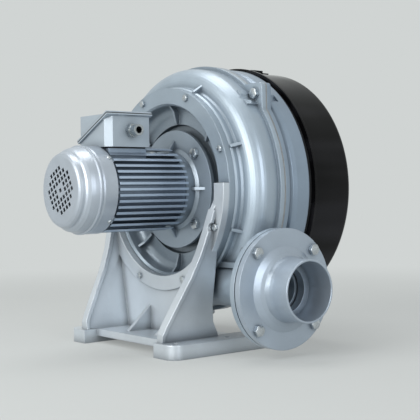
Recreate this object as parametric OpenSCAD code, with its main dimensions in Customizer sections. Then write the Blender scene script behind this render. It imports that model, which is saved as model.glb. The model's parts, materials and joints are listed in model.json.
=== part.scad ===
// Direct-driven two-stage turbo blower, modelled as an assembly of separate pieces.
// Axes: +X along the shaft from the fan cover to the intake, outlet along -Y, +Z up.
// Origin: centre of the four foot holes on the floor plane. Units are millimetres.

/* [Machine] */
// Height of the shaft centre over the floor
shaft_h = 262; // [230:1:300]
// Radial play of seated joints
fit = 0.02; // [0.01:0.01:0.1]
// Free gap between moving and fixed pieces
run_gap = 0.5; // [0.4:0.05:1]
// Bore play round a clearance bolt
bolt_play = 0.3; // [0.1:0.05:0.6]

/* [Stand] */
// Foot hole spacing along the shaft
foot_dx = 105; // [90:1:120]
// Foot hole spacing across the shaft
foot_dy = 266; // [250:1:280]
// Foot hole radius
foot_hole_r = 5.5; // [4:0.25:7]
// Base reach ahead of the hole centre
base_front = 72; // [68:1:80]
// Base reach behind the hole centre
base_rear = 130; // [110:1:150]
// Half width over the base rails
base_half = 152; // [148:1:160]
// Base rail height
base_h = 23; // [18:1:28]
// Base rail width
rail_w = 50; // [46:1:54]
// Outer corner radius of the rails
rail_corner = 20; // [10:1:24]
// Rail wall over the cored underside
rail_wall = 7; // [5:0.5:9]
// Cross plate thickness
cross_t = 12; // [8:1:16]
// Leg plate thickness
leg_t = 9; // [7:0.5:12]
// Leg rim thickness along the free edge
leg_rim_t = 15; // [12:0.5:18]
// Leg rim depth from the free edge
leg_rim_w = 6; // [4:0.5:9]
// Leg offset from the shaft plane at the base
leg_foot_y = 110; // [107:1:114]
// Leg offset from the shaft plane at shaft height
leg_top_y = 149; // [146:1:152]
// Leg reach at the foot
leg_toe = 66; // [60:1:69]
// Front face of the saddle ring along the shaft
saddle_x = 18; // [16:1:20]
// Set-back of the plain web behind the saddle ring
web_step = 4; // [2:0.5:6]
// Distance of each gusset rib from the shaft plane
gusset_y = 40; // [30:1:60]
// Gusset rib thickness
gusset_t = 8; // [5:0.5:10]
// Gusset rib height over the rails
gusset_h = 42; // [30:1:50]
// Gusset rib length ahead of the web
gusset_l = 48; // [36:1:56]
// Saddle bore radius
saddle_bore = 146; // [140:1:148]

/* [Front cover] */
// Front face of the cover ring along the shaft
ring_x = 30; // [26:1:32]
// Cover ring thickness
ring_t = 12; // [10:0.5:14]
// Cover ring outer radius
ring_r = 170; // [168:0.5:172]
// Cover ring bolt circle radius
ring_bolt_r = 161; // [158:0.5:162]
// Cover ring bolt radius
ring_bolt_d = 3; // [2.5:0.25:4]
// Number of cover ring bolts
ring_bolts = 8; // [4:1:12]
// Dish wall thickness
dish_t = 7; // [5:0.5:9]
// Depth of the motor seat plate
seat_t = 11; // [9:0.5:12]
// Radius of the groove round the motor flange
moat_r = 110; // [106:0.5:114]

/* [Volute casing] */
// Joint plane between the casing halves
joint_x = 109.5; // [108:0.5:112]
// Joint flange thickness
joint_t = 8; // [6:0.5:10]
// Joint flange outer radius
joint_r = 211; // [209:0.5:214]
// Casing outer radius at the shoulder
volute_r = 205; // [202:0.5:207]
// Casing wall thickness
casing_t = 6; // [5:0.5:7]
// Shoulder radius of the volute
shoulder_r = 26; // [20:0.5:28]
// Shoulder start along the shaft
shoulder_x = 56; // [54:0.5:60]
// Metal beyond the bolt in the square joint ears
ear_edge = 17; // [14:0.5:19]
// Radius of the ear bolts' circle
ear_bolt_r = 215; // [213:0.5:219]
// Joint bolt radius
joint_bolt = 5; // [4:0.5:5]

/* [Outlet] */
// Outlet axis along the shaft
out_x = 75; // [74:0.5:76]
// Outlet axis height over the floor
out_z = 105.5; // [104:0.5:108]
// Outlet duct outer radius
duct_r = 36; // [34:0.5:38]
// Outlet duct bore radius
duct_bore = 30; // [27:0.5:31]
// Reach of the casing flange face from the shaft plane
flange_y = 235; // [231:0.5:240]
// Flange outer radius
out_flange_r = 93.5; // [90:0.5:98]
// Flange thickness
out_flange_t = 10; // [8:0.5:12]
// Outlet bolt circle radius
out_bolt_r = 82; // [78:0.5:84]
// Outlet bolt radius
out_bolt = 5; // [4:0.5:6]
// Outlet gasket thickness
out_gasket_t = 2; // [1:0.25:3]
// Reach of the pipe mouth from the shaft plane
mouth_y = 300; // [285:1:315]
// Pipe outer radius at the mouth
pipe_r = 48; // [45:0.5:52]
// Pipe wall at the mouth
pipe_wall = 3.5; // [2.5:0.25:5]
// Radius where the neck cone meets the flange
neck_r = 66; // [58:0.5:70]

/* [Rear casing and intake] */
// Thickness of the plate held in the joint
plate_t = 3; // [2:0.5:4]
// Rear face of the rear casing along the shaft
rear_x = 169; // [166:0.5:172]
// Outer radius of the rear casing band
band_r = 208; // [206:0.5:210]
// Intake opening radius in the rear wall
intake_r = 92; // [86:0.5:98]
// Front edge of the intake drum
drum_x = 176; // [174:0.5:179]
// Depth of the intake drum
drum_depth = 90; // [80:1:100]
// Drum outer radius
drum_r = 206; // [203:0.5:208]
// Height of the drum lip over the drum wall
drum_lip = 6; // [4:0.5:10]
// Drum sheet thickness
drum_wall = 2; // [1.5:0.25:3]
// Radius of the drum's air opening
drum_mouth_r = 78; // [70:1:90]
// Thickness of the sound lining
liner_t = 16; // [10:1:24]
// Number of screws in the drum, the inlet cone and the guard
rear_screws = 6; // [4:1:8]
// Radius of the drum and inlet cone screws
rear_screw = 3; // [2.5:0.25:3.5]
// Half spacing of the bracket screws along the shaft
bracket_screw_dx = 16; // [12:1:20]

/* [Impellers] */
// Impeller outer radius
wheel_r = 150; // [144:0.5:152]
// Impeller eye radius
eye_r = 64; // [58:0.5:66]
// Hub radius
hub_r = 22; // [19:0.5:25]
// Number of blades
blades = 12; // [8:1:16]
// Blade sheet thickness
blade_t = 2; // [1.5:0.25:3]
// Angle swept by each blade
blade_sweep = 45; // [30:1:60]
// Angle the blade turns through
blade_turn = 40; // [20:1:60]
// Passage width at the wheel rim
width_tip = 14; // [10:0.5:15]
// Passage width at the eye
width_eye = 19; // [16:0.5:20]
// Front wheel back plate along the shaft
wheel2_x = 76; // [75.5:0.25:77]
// Rear wheel back plate along the shaft
wheel1_x = 132; // [131.5:0.25:133]
// Air gap round the return vane disc
vane_gap = 25; // [22:0.5:28]
// Number of return vanes
vanes = 8; // [6:1:12]
// Thickness of a return vane and of their disc
vane_t = 3; // [2:0.25:4]
// Height of the return vanes
vane_h = 14; // [12:0.5:15]
// Circle radius of the return disc screws
vane_bolt_r = 120; // [110:1:130]

/* [Motor] */
// Front face of the motor flange
flange_x = 50; // [49:0.5:51]
// Motor flange thickness
flange_t = 12; // [10:0.5:12]
// Motor flange radius
flange_r = 100; // [98:0.5:101]
// Motor flange bolt circle radius
flange_bolt_r = 82.5; // [80:0.5:84]
// Spigot radius of the motor flange
spigot_r = 65; // [60:0.5:68]
// Radius over the cooling fins
fin_r = 69; // [67:0.5:72]
// Frame shell radius under the fins
shell_r = 60.5; // [59:0.5:62]
// Frame bore radius
frame_bore = 54.5; // [53:0.5:56]
// Rear end of the frame along the shaft
frame_x0 = -106; // [-108:0.5:-104]
// Front end of the frame along the shaft
frame_x1 = 28; // [26:0.5:30]
// Spacing of the horizontal fins
fin_pitch = 9.4; // [8:0.1:12]
// Fin thickness
fin_t = 4; // [3:0.25:6]
// Fins on each side of the middle fin
fin_half_count = 7; // [5:1:7]
// Shaft radius inside the motor
shaft_r = 15; // [14:0.5:16]
// Rotor radius
rotor_r = 34.5; // [32:0.5:36]
// Number of stator slots
stator_slots = 24; // [18:6:36]
// Length of the end windings
coil_l = 20; // [16:1:22]

/* [Fan cover] */
// Flat face of the fan cover
cover_x = -173; // [-176:1:-170]
// Open end of the fan cover
cover_end = -110.5; // [-112:0.5:-109]
// Radius of the flat face
cover_face_r = 54; // [50:0.5:56]
// Skirt radius
cover_r = 70.5; // [69.5:0.5:72]
// Cover sheet thickness
cover_t = 1.8; // [1.2:0.1:2.5]
// Spacing of the air hole lattice
grid_pitch = 9.2; // [8:0.1:12]
// Side of each air hole
grid_hole = 6.3; // [4:0.1:7]
// Rows of holes, an even number
grid_rows = 8; // [4:2:10]
// Turn of the lattice from the vertical
grid_turn = 28; // [0:1:45]
// Number of fan blades
fan_blades = 8; // [6:1:10]

/* [Terminal box] */
// Fan end of the box
box_x0 = -110; // [-114:1:-106]
// Drive end of the box
box_x1 = -30; // [-36:1:-26]
// Half width across the shaft
box_half = 41; // [38:0.5:44]
// Box floor over the shaft centre
box_z0 = 68; // [67:0.5:70]
// Box top over the shaft centre
box_z1 = 120; // [114:0.5:126]
// Far end height of the sloping joint
box_low = 80; // [78:0.5:86]
// Wall of the box
box_wall = 3.5; // [2.5:0.25:5]
// Lip overhang round the sloping joint
box_lip = 3.5; // [2.5:0.25:5]
// Lip thickness of each half
lip_t = 3; // [2:0.25:4]
// Cable gland radius
gland_r = 9; // [7:0.5:10]
// Cable gland bore radius
gland_bore = 5.5; // [4:0.25:6.5]
// Gland reach from the box wall
gland_l = 22; // [16:1:28]

/* [Hidden] */
$fn = 120;
far = 600;
half_turn = 180;
quarter = 90;
eighth = 45;
web_x = saddle_x + web_step;
ring_back = ring_x + ring_t;
seat_x = flange_x + flange_t;
ear_half = ear_bolt_r * cos(eighth) + ear_edge;
drum_lip_r = drum_r + drum_lip;
seat_r = flange_r - 6;
seat_back = seat_x + seat_t;
plate_back = joint_x + plate_t;
drum_back = drum_x + drum_depth;
ring_step = 360 / ring_bolts;
shoulder_top = volute_r - shoulder_r;
shoulder_cx = shoulder_x + shoulder_r;
foot_x = foot_dx / 2;
foot_y = foot_dy / 2;
leg_h = shaft_h - base_h;
leg_lean = atan((leg_top_y - leg_foot_y) / leg_h);
spigot_l = 3.5;
ring_head_r = 5.8;
m10_r = 5;
m10_hex_r = 9.2;
m10_head = 6.4;
m10_nut = 8;
m6_head_r = 5;
m4_r = 2;
m4_head_r = 3.8;
rear_turn = half_turn / rear_screws;
drum_bolt_r = drum_r - 16;
cone_bolt_r = intake_r + 10;
guard_bolt_r = drum_mouth_r + 4.5;
vane_disc_r = volute_r - casing_t - vane_gap;
vane_disc_bore = hub_r + 4;
vane_in_r = eye_r + 8;
vane_out_r = vane_disc_r - 2;
bracket_x = drum_x + 55;

// Shapes shared by the pieces

// Places a shape drawn along Z onto the shaft line at x
module on_shaft(x = 0) {
  translate([x, 0, shaft_h])
    rotate([0, quarter, 0])
      children();
}

// Turns a profile of [radius, x] points about the shaft
module turned(profile) {
  on_shaft()
    rotate_extrude()
      polygon(profile);
}

// Tube about the shaft between two stations
module tube(x0, x1, r_out, r_in) {
  on_shaft(x0)
    linear_extrude(x1 - x0)
      difference() {
        circle(r_out);
        circle(r_in);
      }
}

// Disc or bar about the shaft between two stations
module bar(x0, x1, r) {
  on_shaft(x0)
    cylinder(h = x1 - x0, r = r);
}

// Copies a shape round the shaft, angle from +Z towards -Y
module round_shaft(count, start = 0) {
  for (i = [0 : count - 1])
    at_angle(start + i * 360 / count)
      children();
}

// Turns a shape about the shaft, drawn with the shaft at the origin
module at_angle(a) {
  translate([0, 0, shaft_h])
    rotate([a, 0, 0])
      children();
}

// Plate in the plane of the shaft from [x, radius] points, centred on its thickness
module rib(points, t) {
  rotate([quarter, 0, 0])
    translate([0, 0, -t / 2])
      linear_extrude(t)
        polygon(points);
}

// Straight cylinder along X from a point
module pin_x(x0, x1, y, z, r) {
  translate([x0, y, z])
    rotate([0, quarter, 0])
      cylinder(h = x1 - x0, r = r);
}

// Hexagon prism along X from a point
module hex_x(x0, x1, y, z, r) {
  translate([x0, y, z])
    rotate([0, quarter, 0])
      linear_extrude(x1 - x0)
        circle(r, $fn = 6);
}

// Straight cylinder along Y from a point
module pin_y(y0, y1, x, z, r) {
  translate([x, y1, z])
    rotate([quarter, 0, 0])
      cylinder(h = y1 - y0, r = r);
}

// Hexagon prism along Y from a point
module hex_y(y0, y1, x, z, r) {
  translate([x, y1, z])
    rotate([quarter, 0, 0])
      linear_extrude(y1 - y0)
        circle(r, $fn = 6);
}

// Points of an arc in [radius, x], angle 90 faces the fan end, angle 0 faces outwards
function arc(cr, cx, r, a0, a1, steps = 8) =
  [for (i = [0 : steps]) let (a = a0 + (a1 - a0) * i / steps) [cr + r * cos(a), cx - r * sin(a)]];

// Reverses a list of points
function flipped(list) = [for (i = [len(list) - 1 : -1 : 0]) list[i]];

// Plan of one curved blade between two radii
module blade_plan(r0, r1, sweep, turn, t) {
  chord = [r1 * cos(sweep) - r0, r1 * sin(sweep)];
  run = norm(chord);
  bend_r = run / (2 * sin(turn / 2));
  aim = atan2(chord[1], chord[0]) - turn / 2 + quarter;
  hub = [r0 + bend_r * cos(aim), bend_r * sin(aim)];
  side = atan2(hub[1], hub[0]) - half_turn;
  intersection() {
    difference() {
      circle(r1);
      circle(r0);
    }
    translate(hub)
      difference() {
        circle(bend_r);
        circle(bend_r - t);
      }
    rotate([0, 0, side])
      translate([-far, 0])
        square([2 * far, far]);
  }
}

// Stand

leg_top_x = ring_x - 0.5;
leg_front = [
  [-leg_toe, 0], [-leg_toe, 14], [-leg_toe + 5, 26], [-41, 64], [-20, 103],
  [-5, 139], [6, 176], [13, 205], [leg_top_x - 6, leg_h - 9], [leg_top_x, leg_h - 4]
];
leg_back = [[leg_top_x, 58], [leg_top_x + 5, 27], [leg_top_x + 15, 9], [leg_top_x + 19, 0]];

// Side outline of a leg in [x, height over the base]
module leg_outline() {
  polygon(concat(leg_front, leg_back));
}

// One leaning leg, side -1 near the outlet and +1 opposite
module leg(side) {
  translate([0, side * leg_foot_y, base_h - 1])
    rotate([-side * leg_lean, 0, 0]) {
      rotate([quarter, 0, 0])
        translate([0, 0, -leg_t / 2])
          linear_extrude(leg_t)
            leg_outline();
      rotate([quarter, 0, 0])
        translate([0, 0, -leg_rim_t / 2])
          linear_extrude(leg_rim_t)
            difference() {
              leg_outline();
              translate([leg_rim_w, -leg_rim_w / 2])
                leg_outline();
              translate([leg_top_x - leg_rim_w, -far])
                square([far, 2 * far]);
              translate([leg_top_x - far, leg_h - 30])
                square([2 * far, far]);
            }
    }
}

// Plan of one base rail with rounded outer corners
module rail_plan(side) {
  len_x = base_front + base_rear;
  y_in = base_half - rail_w;
  mirror([0, side < 0 ? 1 : 0])
    translate([-base_front, y_in]) {
      square([len_x, rail_w - rail_corner]);
      translate([rail_corner, 0])
        square([len_x - 2 * rail_corner, rail_w]);
      for (x = [rail_corner, len_x - rail_corner])
        translate([x, rail_w - rail_corner])
          circle(rail_corner);
    }
}

module stand() {
  lug_r = 14;
  cross_front = -46;
  tie_l = 34;
  core = rail_w - 2 * rail_wall;
  color("#aab2b8")
    difference() {
      union() {
        for (side = [-1, 1]) {
          linear_extrude(base_h)
            rail_plan(side);
          leg(side);
        }
        translate([cross_front, -base_half + rail_w - 1, base_h - cross_t])
          cube([leg_top_x - cross_front, 2 * (base_half - rail_w + 1), cross_t]);
        translate([base_rear - tie_l, -base_half + rail_w - 1, 0])
          cube([tie_l, 2 * (base_half - rail_w + 1), cross_t]);
        saddle();
        // Gusset ribs between the cross plate and the saddle
        for (y = [-gusset_y, gusset_y])
          translate([web_x + 1, y + gusset_t / 2, 0])
            rotate([quarter, 0, 0])
              linear_extrude(gusset_t)
                polygon([[0, base_h - 1], [-gusset_l, base_h - 1], [0, base_h + gusset_h]]);
      }
      for (x = [-foot_x, foot_x], y = [-foot_y, foot_y])
        translate([x, y, -1])
          cylinder(h = base_h + 2, r = foot_hole_r);
      // Cored underside of the rails between the foot holes
      for (side = [-1, 1])
        translate([-foot_x + lug_r, side * (base_half - rail_w / 2) - core / 2, -1])
          cube([foot_dx - 2 * lug_r, core, base_h - rail_wall + 1]);
      for (side = [-1, 1])
        translate([foot_x + lug_r, side * (base_half - rail_w / 2) - core / 2, -1])
          cube([base_rear - foot_x - lug_r - rail_wall, core, base_h - rail_wall + 1]);
      round_shaft(ring_bolts, ring_step / 2)
        pin_x(saddle_x - 1, ring_x + 1, 0, ring_bolt_r, ring_bolt_d + bolt_play);
      round_shaft(ring_bolts, ring_step / 2)
        pin_x(saddle_x - 12, saddle_x, 0, ring_bolt_r, ring_head_r + 1);
    }
}

// Upright plate of the stand with the half ring that carries the casing
module saddle() {
  top = 8;
  on_shaft(web_x)
    linear_extrude(ring_x - web_x)
      difference() {
        union() {
          circle(ring_r - 1);
          polygon([
            [0, -leg_top_y - leg_t / 2], [leg_h + 1, -leg_foot_y - leg_t / 2],
            [leg_h + 1, leg_foot_y + leg_t / 2], [0, leg_top_y + leg_t / 2]
          ]);
        }
        circle(saddle_bore);
        translate([-far - top, -far])
          square([far, 2 * far]);
      }
  on_shaft(saddle_x)
    linear_extrude(ring_x - saddle_x)
      difference() {
        circle(ring_r);
        circle(saddle_bore);
        translate([-far - top, -far])
          square([far, 2 * far]);
      }
}

stand();

// Front cover with the motor seat

module front_cover() {
  moat_floor = seat_x + 7;
  plate_x = seat_x - 2;
  corner_r = 14;
  wall_r = saddle_bore - 5;
  corner_cr = wall_r - corner_r;
  corner_cx = plate_x - corner_r;
  seat_bore = spigot_r + 0.05;
  shaft_hole = 18;
  tap_end = seat_back - 1.5;
  color("#b4bcc2")
    difference() {
      union() {
        turned(concat(
          [[shaft_hole, seat_x + spigot_l + 0.5], [seat_bore, seat_x + spigot_l + 0.5]],
          [[seat_bore, seat_x], [seat_r, seat_x], [seat_r, moat_floor]],
          [[moat_r - 2, moat_floor], [moat_r, moat_floor - 2], [moat_r, plate_x]],
          arc(corner_cr, corner_cx, corner_r, -quarter, 0),
          [[wall_r, ring_x + 4], [wall_r + 3, ring_x], [ring_r, ring_x], [ring_r, ring_back]],
          [[saddle_bore + 4, ring_back], [saddle_bore + 2, ring_back + 2]],
          [[wall_r + dish_t, ring_back + 2]],
          arc(corner_cr, corner_cx, corner_r + dish_t, 0, -quarter),
          [[moat_r + 6, plate_x + dish_t], [moat_r + 4, seat_back], [shaft_hole, seat_back]]
        ));
        round_shaft(8)
          rib([
            [plate_x + 2, moat_r + 1], [plate_x - 5, moat_r + 1], [plate_x - 11, wall_r - 9],
            [ring_x + 10, wall_r + 2], [plate_x, wall_r + 2]
          ], 5);
      }
      round_shaft(ring_bolts, ring_step / 2)
        pin_x(ring_x - 1, ring_back + 1, 0, ring_bolt_r, ring_bolt_d + bolt_play);
      round_shaft(4, eighth)
        pin_x(seat_x - 1, tap_end, 0, flange_bolt_r, m10_r + fit);
    }
}

front_cover();

// Volute casing with the outlet duct, the casting that takes most skill

// Outline of the joint flanges, a disc with square ears
module joint_outline() {
  circle(joint_r);
  for (a = [eighth, 3 * eighth, -eighth])
    ear_outline(a);
  foot_ear();
}

// Square corner of the joint flange, a is measured from +Z towards -Y
module ear_outline(a) {
  reach = ear_half;
  back = ear_half - joint_r / 2;
  corner = 7;
  mirror([0, 1, 0])
    rotate([0, 0, half_turn - a + eighth])
      mirror([0, 1, 0])
        translate([reach - back, reach - back]) {
          square([back, back - corner]);
          square([back - corner, back]);
          translate([back - corner, back - corner])
            circle(corner);
        }
}

// Round lug at the bottom of the joint
module foot_ear() {
  lug = 13;
  translate([ear_bolt_r - 3, 0])
    circle(lug);
  translate([joint_r / 2, -lug])
    square([ear_bolt_r - 3 - joint_r / 2, 2 * lug]);
}

ear_angles = [eighth, 3 * eighth, -eighth];
ear_pin_r = 11;
spot_depth = 0.4;

// Copies a shape to each joint bolt
module at_joint_bolts() {
  for (a = ear_angles)
    at_angle(a)
      translate([0, 0, ear_bolt_r])
        children();
  at_angle(half_turn)
    translate([0, 0, ear_bolt_r - 3])
      children();
}

module volute_casing() {
  bore_r = volute_r - casing_t;
  tap_depth = 11;
  groove_r = ring_r + 2;
  mouth_x = ring_back + tap_depth + 2;
  tongue_z = out_z + duct_bore;
  color("#b8c0c6")
    difference() {
      union() {
        difference() {
          union() {
            turned(concat(
              [[saddle_bore + 5, ring_back], [ring_r, ring_back], [groove_r, ring_back + 3]],
              [[groove_r, shoulder_x - 4], [groove_r + 2, shoulder_x]],
              arc(shoulder_top, shoulder_cx, shoulder_r, quarter, 0, 9),
              [[volute_r, joint_x - 1], [saddle_bore + 5, joint_x - 1]]
            ));
            on_shaft(joint_x - joint_t)
              linear_extrude(joint_t)
                joint_outline();
            // Ear pockets run forward to the shoulder
            for (a = ear_angles)
              at_angle(a)
                translate([joint_x - 30, 0, ear_bolt_r - 14])
                  ear_boss();
            pin_y(-flange_y + 1, -80, out_x, out_z, duct_r);
            outlet_flange_blank();
            // Ribs across the groove at the ring bolts
            round_shaft(ring_bolts, ring_step / 2)
              rib([
                [ring_back, ring_r - 6], [ring_back, ring_r + 3], [shoulder_x + 4, ring_r + 17],
                [shoulder_x + 8, ring_r - 6]
              ], 5);
          }
          // Space round the front wheel
          turned(concat(
            [[0, mouth_x], [shoulder_top - 20, mouth_x], [shoulder_top - 8, mouth_x + 3]],
            arc(shoulder_top, shoulder_cx, bore_r - shoulder_top, quarter - 20, 0, 7),
            [[bore_r, joint_x + 1], [0, joint_x + 1]]
          ));
          bar(ring_back - 1, mouth_x + 1, saddle_bore + 5);
          pin_y(-flange_y - 1, -20, out_x, out_z, duct_bore);
          tube(saddle_x - 1, ring_back, ring_r + 1, 1);
          translate([joint_x, -ear_half - 1, shaft_h - ear_half - 60])
            cube([20, 2 * (ear_half + 1), 2 * ear_half + 120]);
        }
        // Cutwater over the outlet
        difference() {
          translate([ring_back + 6, -158, tongue_z - 1])
            cube([joint_x - ring_back - 9, 56, 9]);
          bar(ring_back, joint_x, wheel_r + 7);
          tube(ring_back, joint_x, volute_r + 40, volute_r - 2);
        }
      }
      round_shaft(ring_bolts, ring_step / 2)
        pin_x(ring_back - 1, ring_back + tap_depth, 0, ring_bolt_r, ring_bolt_d + fit);
      at_joint_bolts()
        pin_x(joint_x - 60, joint_x + 1, 0, 0, joint_bolt + bolt_play);
      // Spot faces for the joint bolt heads
      at_joint_bolts()
        pin_x(joint_x - 60, joint_x - joint_t + spot_depth, 0, 0, ear_pin_r);
      outlet_bolt_holes(-flange_y - 1, -flange_y + out_flange_t + 1);
    }
}

// Local swelling of the shoulder that carries a joint ear
module ear_boss() {
  wide = 34;
  translate([0, -wide / 2, -14])
    cube([30, wide, 20]);
}

module outlet_flange_blank() {
  pin_y(-flange_y, -flange_y + out_flange_t, out_x, out_z, out_flange_r);
}

// Four outlet bolt holes between two stations
module outlet_bolt_holes(y0, y1) {
  at_outlet_bolts()
    pin_y(y0, y1, 0, 0, out_bolt + bolt_play);
}

// Copies a shape to each outlet bolt
module at_outlet_bolts() {
  for (a = [eighth : quarter : 7 * eighth])
    translate([out_x + out_bolt_r * cos(a), 0, out_z + out_bolt_r * sin(a)])
      children();
}

volute_casing();

// Cover ring bolts, longer at the stand

module cover_ring_bolts() {
  head = 4;
  color("#9a9ea2")
    for (i = [0 : ring_bolts - 1]) {
      a = (i + 0.5) * ring_step;
      seat = cos(a) < 0 ? saddle_x : ring_x;
      at_angle(a) {
        pin_x(seat, ring_back + 10, 0, ring_bolt_r, ring_bolt_d);
        hex_x(seat - head, seat, 0, ring_bolt_r, ring_head_r);
      }
    }
}

cover_ring_bolts();

// Plate held in the casing joint, with the collar that feeds the front wheel

module interstage_plate() {
  collar = 3;
  color("#8d9296")
    difference() {
      union() {
        on_shaft(joint_x)
          linear_extrude(plate_t)
            difference() {
              joint_outline();
              circle(eye_r - 2 - collar);
            }
        tube(joint_x - 8, joint_x + 1, eye_r - 2, eye_r - 2 - collar);
      }
      at_joint_bolts()
        pin_x(joint_x - 1, plate_back + 1, 0, 0, joint_bolt + bolt_play);
      round_shaft(rear_screws)
        pin_x(joint_x - 1, plate_back + 1, 0, vane_bolt_r, rear_screw + bolt_play);
    }
}

interstage_plate();

// Return vane disc behind the rear wheel

module return_vane_disc() {
  disc_x = plate_back + vane_h;
  color("#a4a9ad")
    difference() {
      union() {
        tube(disc_x, disc_x + vane_t, vane_disc_r, vane_disc_bore);
        on_shaft(plate_back)
          linear_extrude(vane_h + 1)
            for (i = [0 : vanes - 1])
              rotate([0, 0, i * 360 / vanes])
                mirror([0, 1, 0])
                  blade_plan(vane_in_r, vane_out_r, 38, 44, vane_t);
        round_shaft(rear_screws)
          pin_x(plate_back, disc_x + 1, 0, vane_bolt_r, rear_screw + 5);
      }
      round_shaft(rear_screws)
        pin_x(plate_back - 1, disc_x - 1, 0, vane_bolt_r, rear_screw + fit);
    }
}

return_vane_disc();

module return_disc_screws() {
  head = 3;
  color("#8a8d90")
    round_shaft(rear_screws) {
      pin_x(joint_x - head, plate_back + 10, 0, vane_bolt_r, rear_screw);
      pin_x(joint_x - head, joint_x, 0, vane_bolt_r, m6_head_r);
    }
}

return_disc_screws();

// Rear casing

module rear_casing() {
  bore_r = volute_r - casing_t;
  back_t = 6;
  color("#b2bac2")
    difference() {
      union() {
        turned([
          [bore_r, plate_back + 1], [volute_r - 4, plate_back + 1], [volute_r - 4, plate_back + 14],
          [band_r - 2, plate_back + 20], [band_r, plate_back + 28], [band_r, rear_x - 3],
          [band_r - 3, rear_x], [intake_r, rear_x], [intake_r, rear_x - back_t],
          [bore_r - 6, rear_x - back_t], [bore_r, rear_x - back_t - 6]
        ]);
        difference() {
          on_shaft(plate_back)
            linear_extrude(joint_t)
              joint_outline();
          bar(plate_back - 1, rear_x, bore_r);
        }
      }
      at_joint_bolts()
        pin_x(plate_back - 1, plate_back + 40, 0, 0, joint_bolt + bolt_play);
      at_joint_bolts()
        pin_x(plate_back + joint_t - spot_depth, plate_back + 40, 0, 0, ear_pin_r);
      round_shaft(rear_screws, rear_turn)
        pin_x(rear_x - back_t - 1, rear_x + 1, 0, cone_bolt_r, rear_screw + fit);
      round_shaft(rear_screws)
        pin_x(rear_x - back_t - 1, rear_x + 1, 0, drum_bolt_r, rear_screw + fit);
    }
}

rear_casing();

module joint_bolts() {
  head = 6.5;
  seat = joint_x - joint_t + spot_depth;
  color("#a6aaae")
    at_joint_bolts() {
      pin_x(seat, plate_back + joint_t + 10, 0, 0, joint_bolt);
      hex_x(seat - head, seat, 0, 0, m10_hex_r);
    }
}

joint_bolts();

module joint_nuts() {
  seat = plate_back + joint_t - spot_depth;
  color("#a6aaae")
    at_joint_bolts()
      difference() {
        hex_x(seat, seat + m10_nut, 0, 0, m10_hex_r);
        pin_x(plate_back, plate_back + joint_t + m10_nut + 1, 0, 0, joint_bolt + fit);
      }
}

joint_nuts();

// Spun inlet cone on the rear wall

cone_t = 2;

module inlet_cone() {
  lip_r = eye_r - 3.5;
  curl = 12;
  curl_x = rear_x + cone_t - curl;
  color("#9ca1a5")
    difference() {
      turned(concat(
        [[intake_r + 18, rear_x], [intake_r + 18, rear_x + cone_t]],
        arc(lip_r + curl, curl_x, curl, -quarter, -half_turn),
        [[lip_r, curl_x - 5], [lip_r + cone_t, curl_x - 5]],
        flipped(arc(lip_r + curl, curl_x, curl - cone_t, -quarter, -half_turn))
      ));
      round_shaft(rear_screws, rear_turn)
        pin_x(rear_x - 1, rear_x + cone_t + 1, 0, cone_bolt_r, rear_screw + bolt_play);
    }
}

inlet_cone();

module inlet_cone_screws() {
  head = 3;
  seat = rear_x + cone_t;
  color("#8a8d90")
    round_shaft(rear_screws, rear_turn) {
      pin_x(rear_x - 5, seat, 0, cone_bolt_r, rear_screw);
      pin_x(seat, seat + head, 0, cone_bolt_r, m6_head_r);
    }
}

inlet_cone_screws();

// Intake drum, a spun sheet hood with a rolled lip

module intake_drum() {
  roll = 9;
  inner = drum_r - drum_wall;
  color("#15171a")
    difference() {
      union() {
        turned(concat(
          [[inner - 20, drum_x], [drum_lip_r, drum_x], [drum_lip_r, drum_x + 4]],
          [[drum_r + 2, drum_x + 5], [drum_r, drum_x + 8]],
          arc(drum_r - roll, drum_back - roll, roll, 0, -quarter, 6),
          [[drum_mouth_r, drum_back], [drum_mouth_r, drum_back - drum_wall]],
          flipped(arc(drum_r - roll, drum_back - roll, roll - drum_wall, 0, -quarter, 6)),
          [[inner, drum_x + drum_wall], [inner - 20, drum_x + drum_wall]]
        ));
      }
      round_shaft(rear_screws)
        pin_x(drum_x - 1, drum_x + drum_wall + 1, 0, drum_bolt_r, rear_screw + bolt_play);
      round_shaft(rear_screws, rear_turn)
        pin_x(drum_back - 10, drum_back + 1, 0, guard_bolt_r, m4_r + fit);
      at_bracket_screws()
        translate([0, 0, -8])
          cylinder(h = 20, r = m4_r + bolt_play);
    }
}

intake_drum();

// Spacer ring that holds the drum off the rear wall

module drum_spacer_ring() {
  color("#0d0e10")
    difference() {
      tube(rear_x, drum_x, drum_bolt_r + 13, drum_bolt_r - 18);
      round_shaft(rear_screws)
        pin_x(rear_x - 1, drum_x + 1, 0, drum_bolt_r, rear_screw + bolt_play);
    }
}

drum_spacer_ring();

module drum_screws() {
  head = 4;
  seat = drum_x + drum_wall;
  color("#55585b")
    round_shaft(rear_screws) {
      pin_x(rear_x - 5, seat, 0, drum_bolt_r, rear_screw);
      hex_x(seat, seat + head, 0, drum_bolt_r, ring_head_r);
    }
}

drum_screws();

// Sound lining glued inside the drum wall

module drum_liner() {
  inner = drum_r - drum_wall;
  liner_x0 = drum_x + drum_wall + 8;
  liner_x1 = drum_back - drum_wall - 6;
  color("#3a3c3e")
    tube(liner_x0, liner_x1, inner - 0.3, inner - liner_t);
}

drum_liner();

// Guard over the air opening, a flat ring that carries two layers of rods

guard_t = 2;
guard_rim_r = drum_mouth_r + 8;
rod_r = 1.5;
rod_pitch = 19;

module intake_guard() {
  color("#777b7f")
    difference() {
      tube(drum_back, drum_back + guard_t, guard_rim_r, drum_mouth_r);
      round_shaft(rear_screws, rear_turn)
        pin_x(drum_back - 1, drum_back + guard_t + 1, 0, guard_bolt_r, m4_r + bolt_play);
    }
}

intake_guard();

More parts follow.
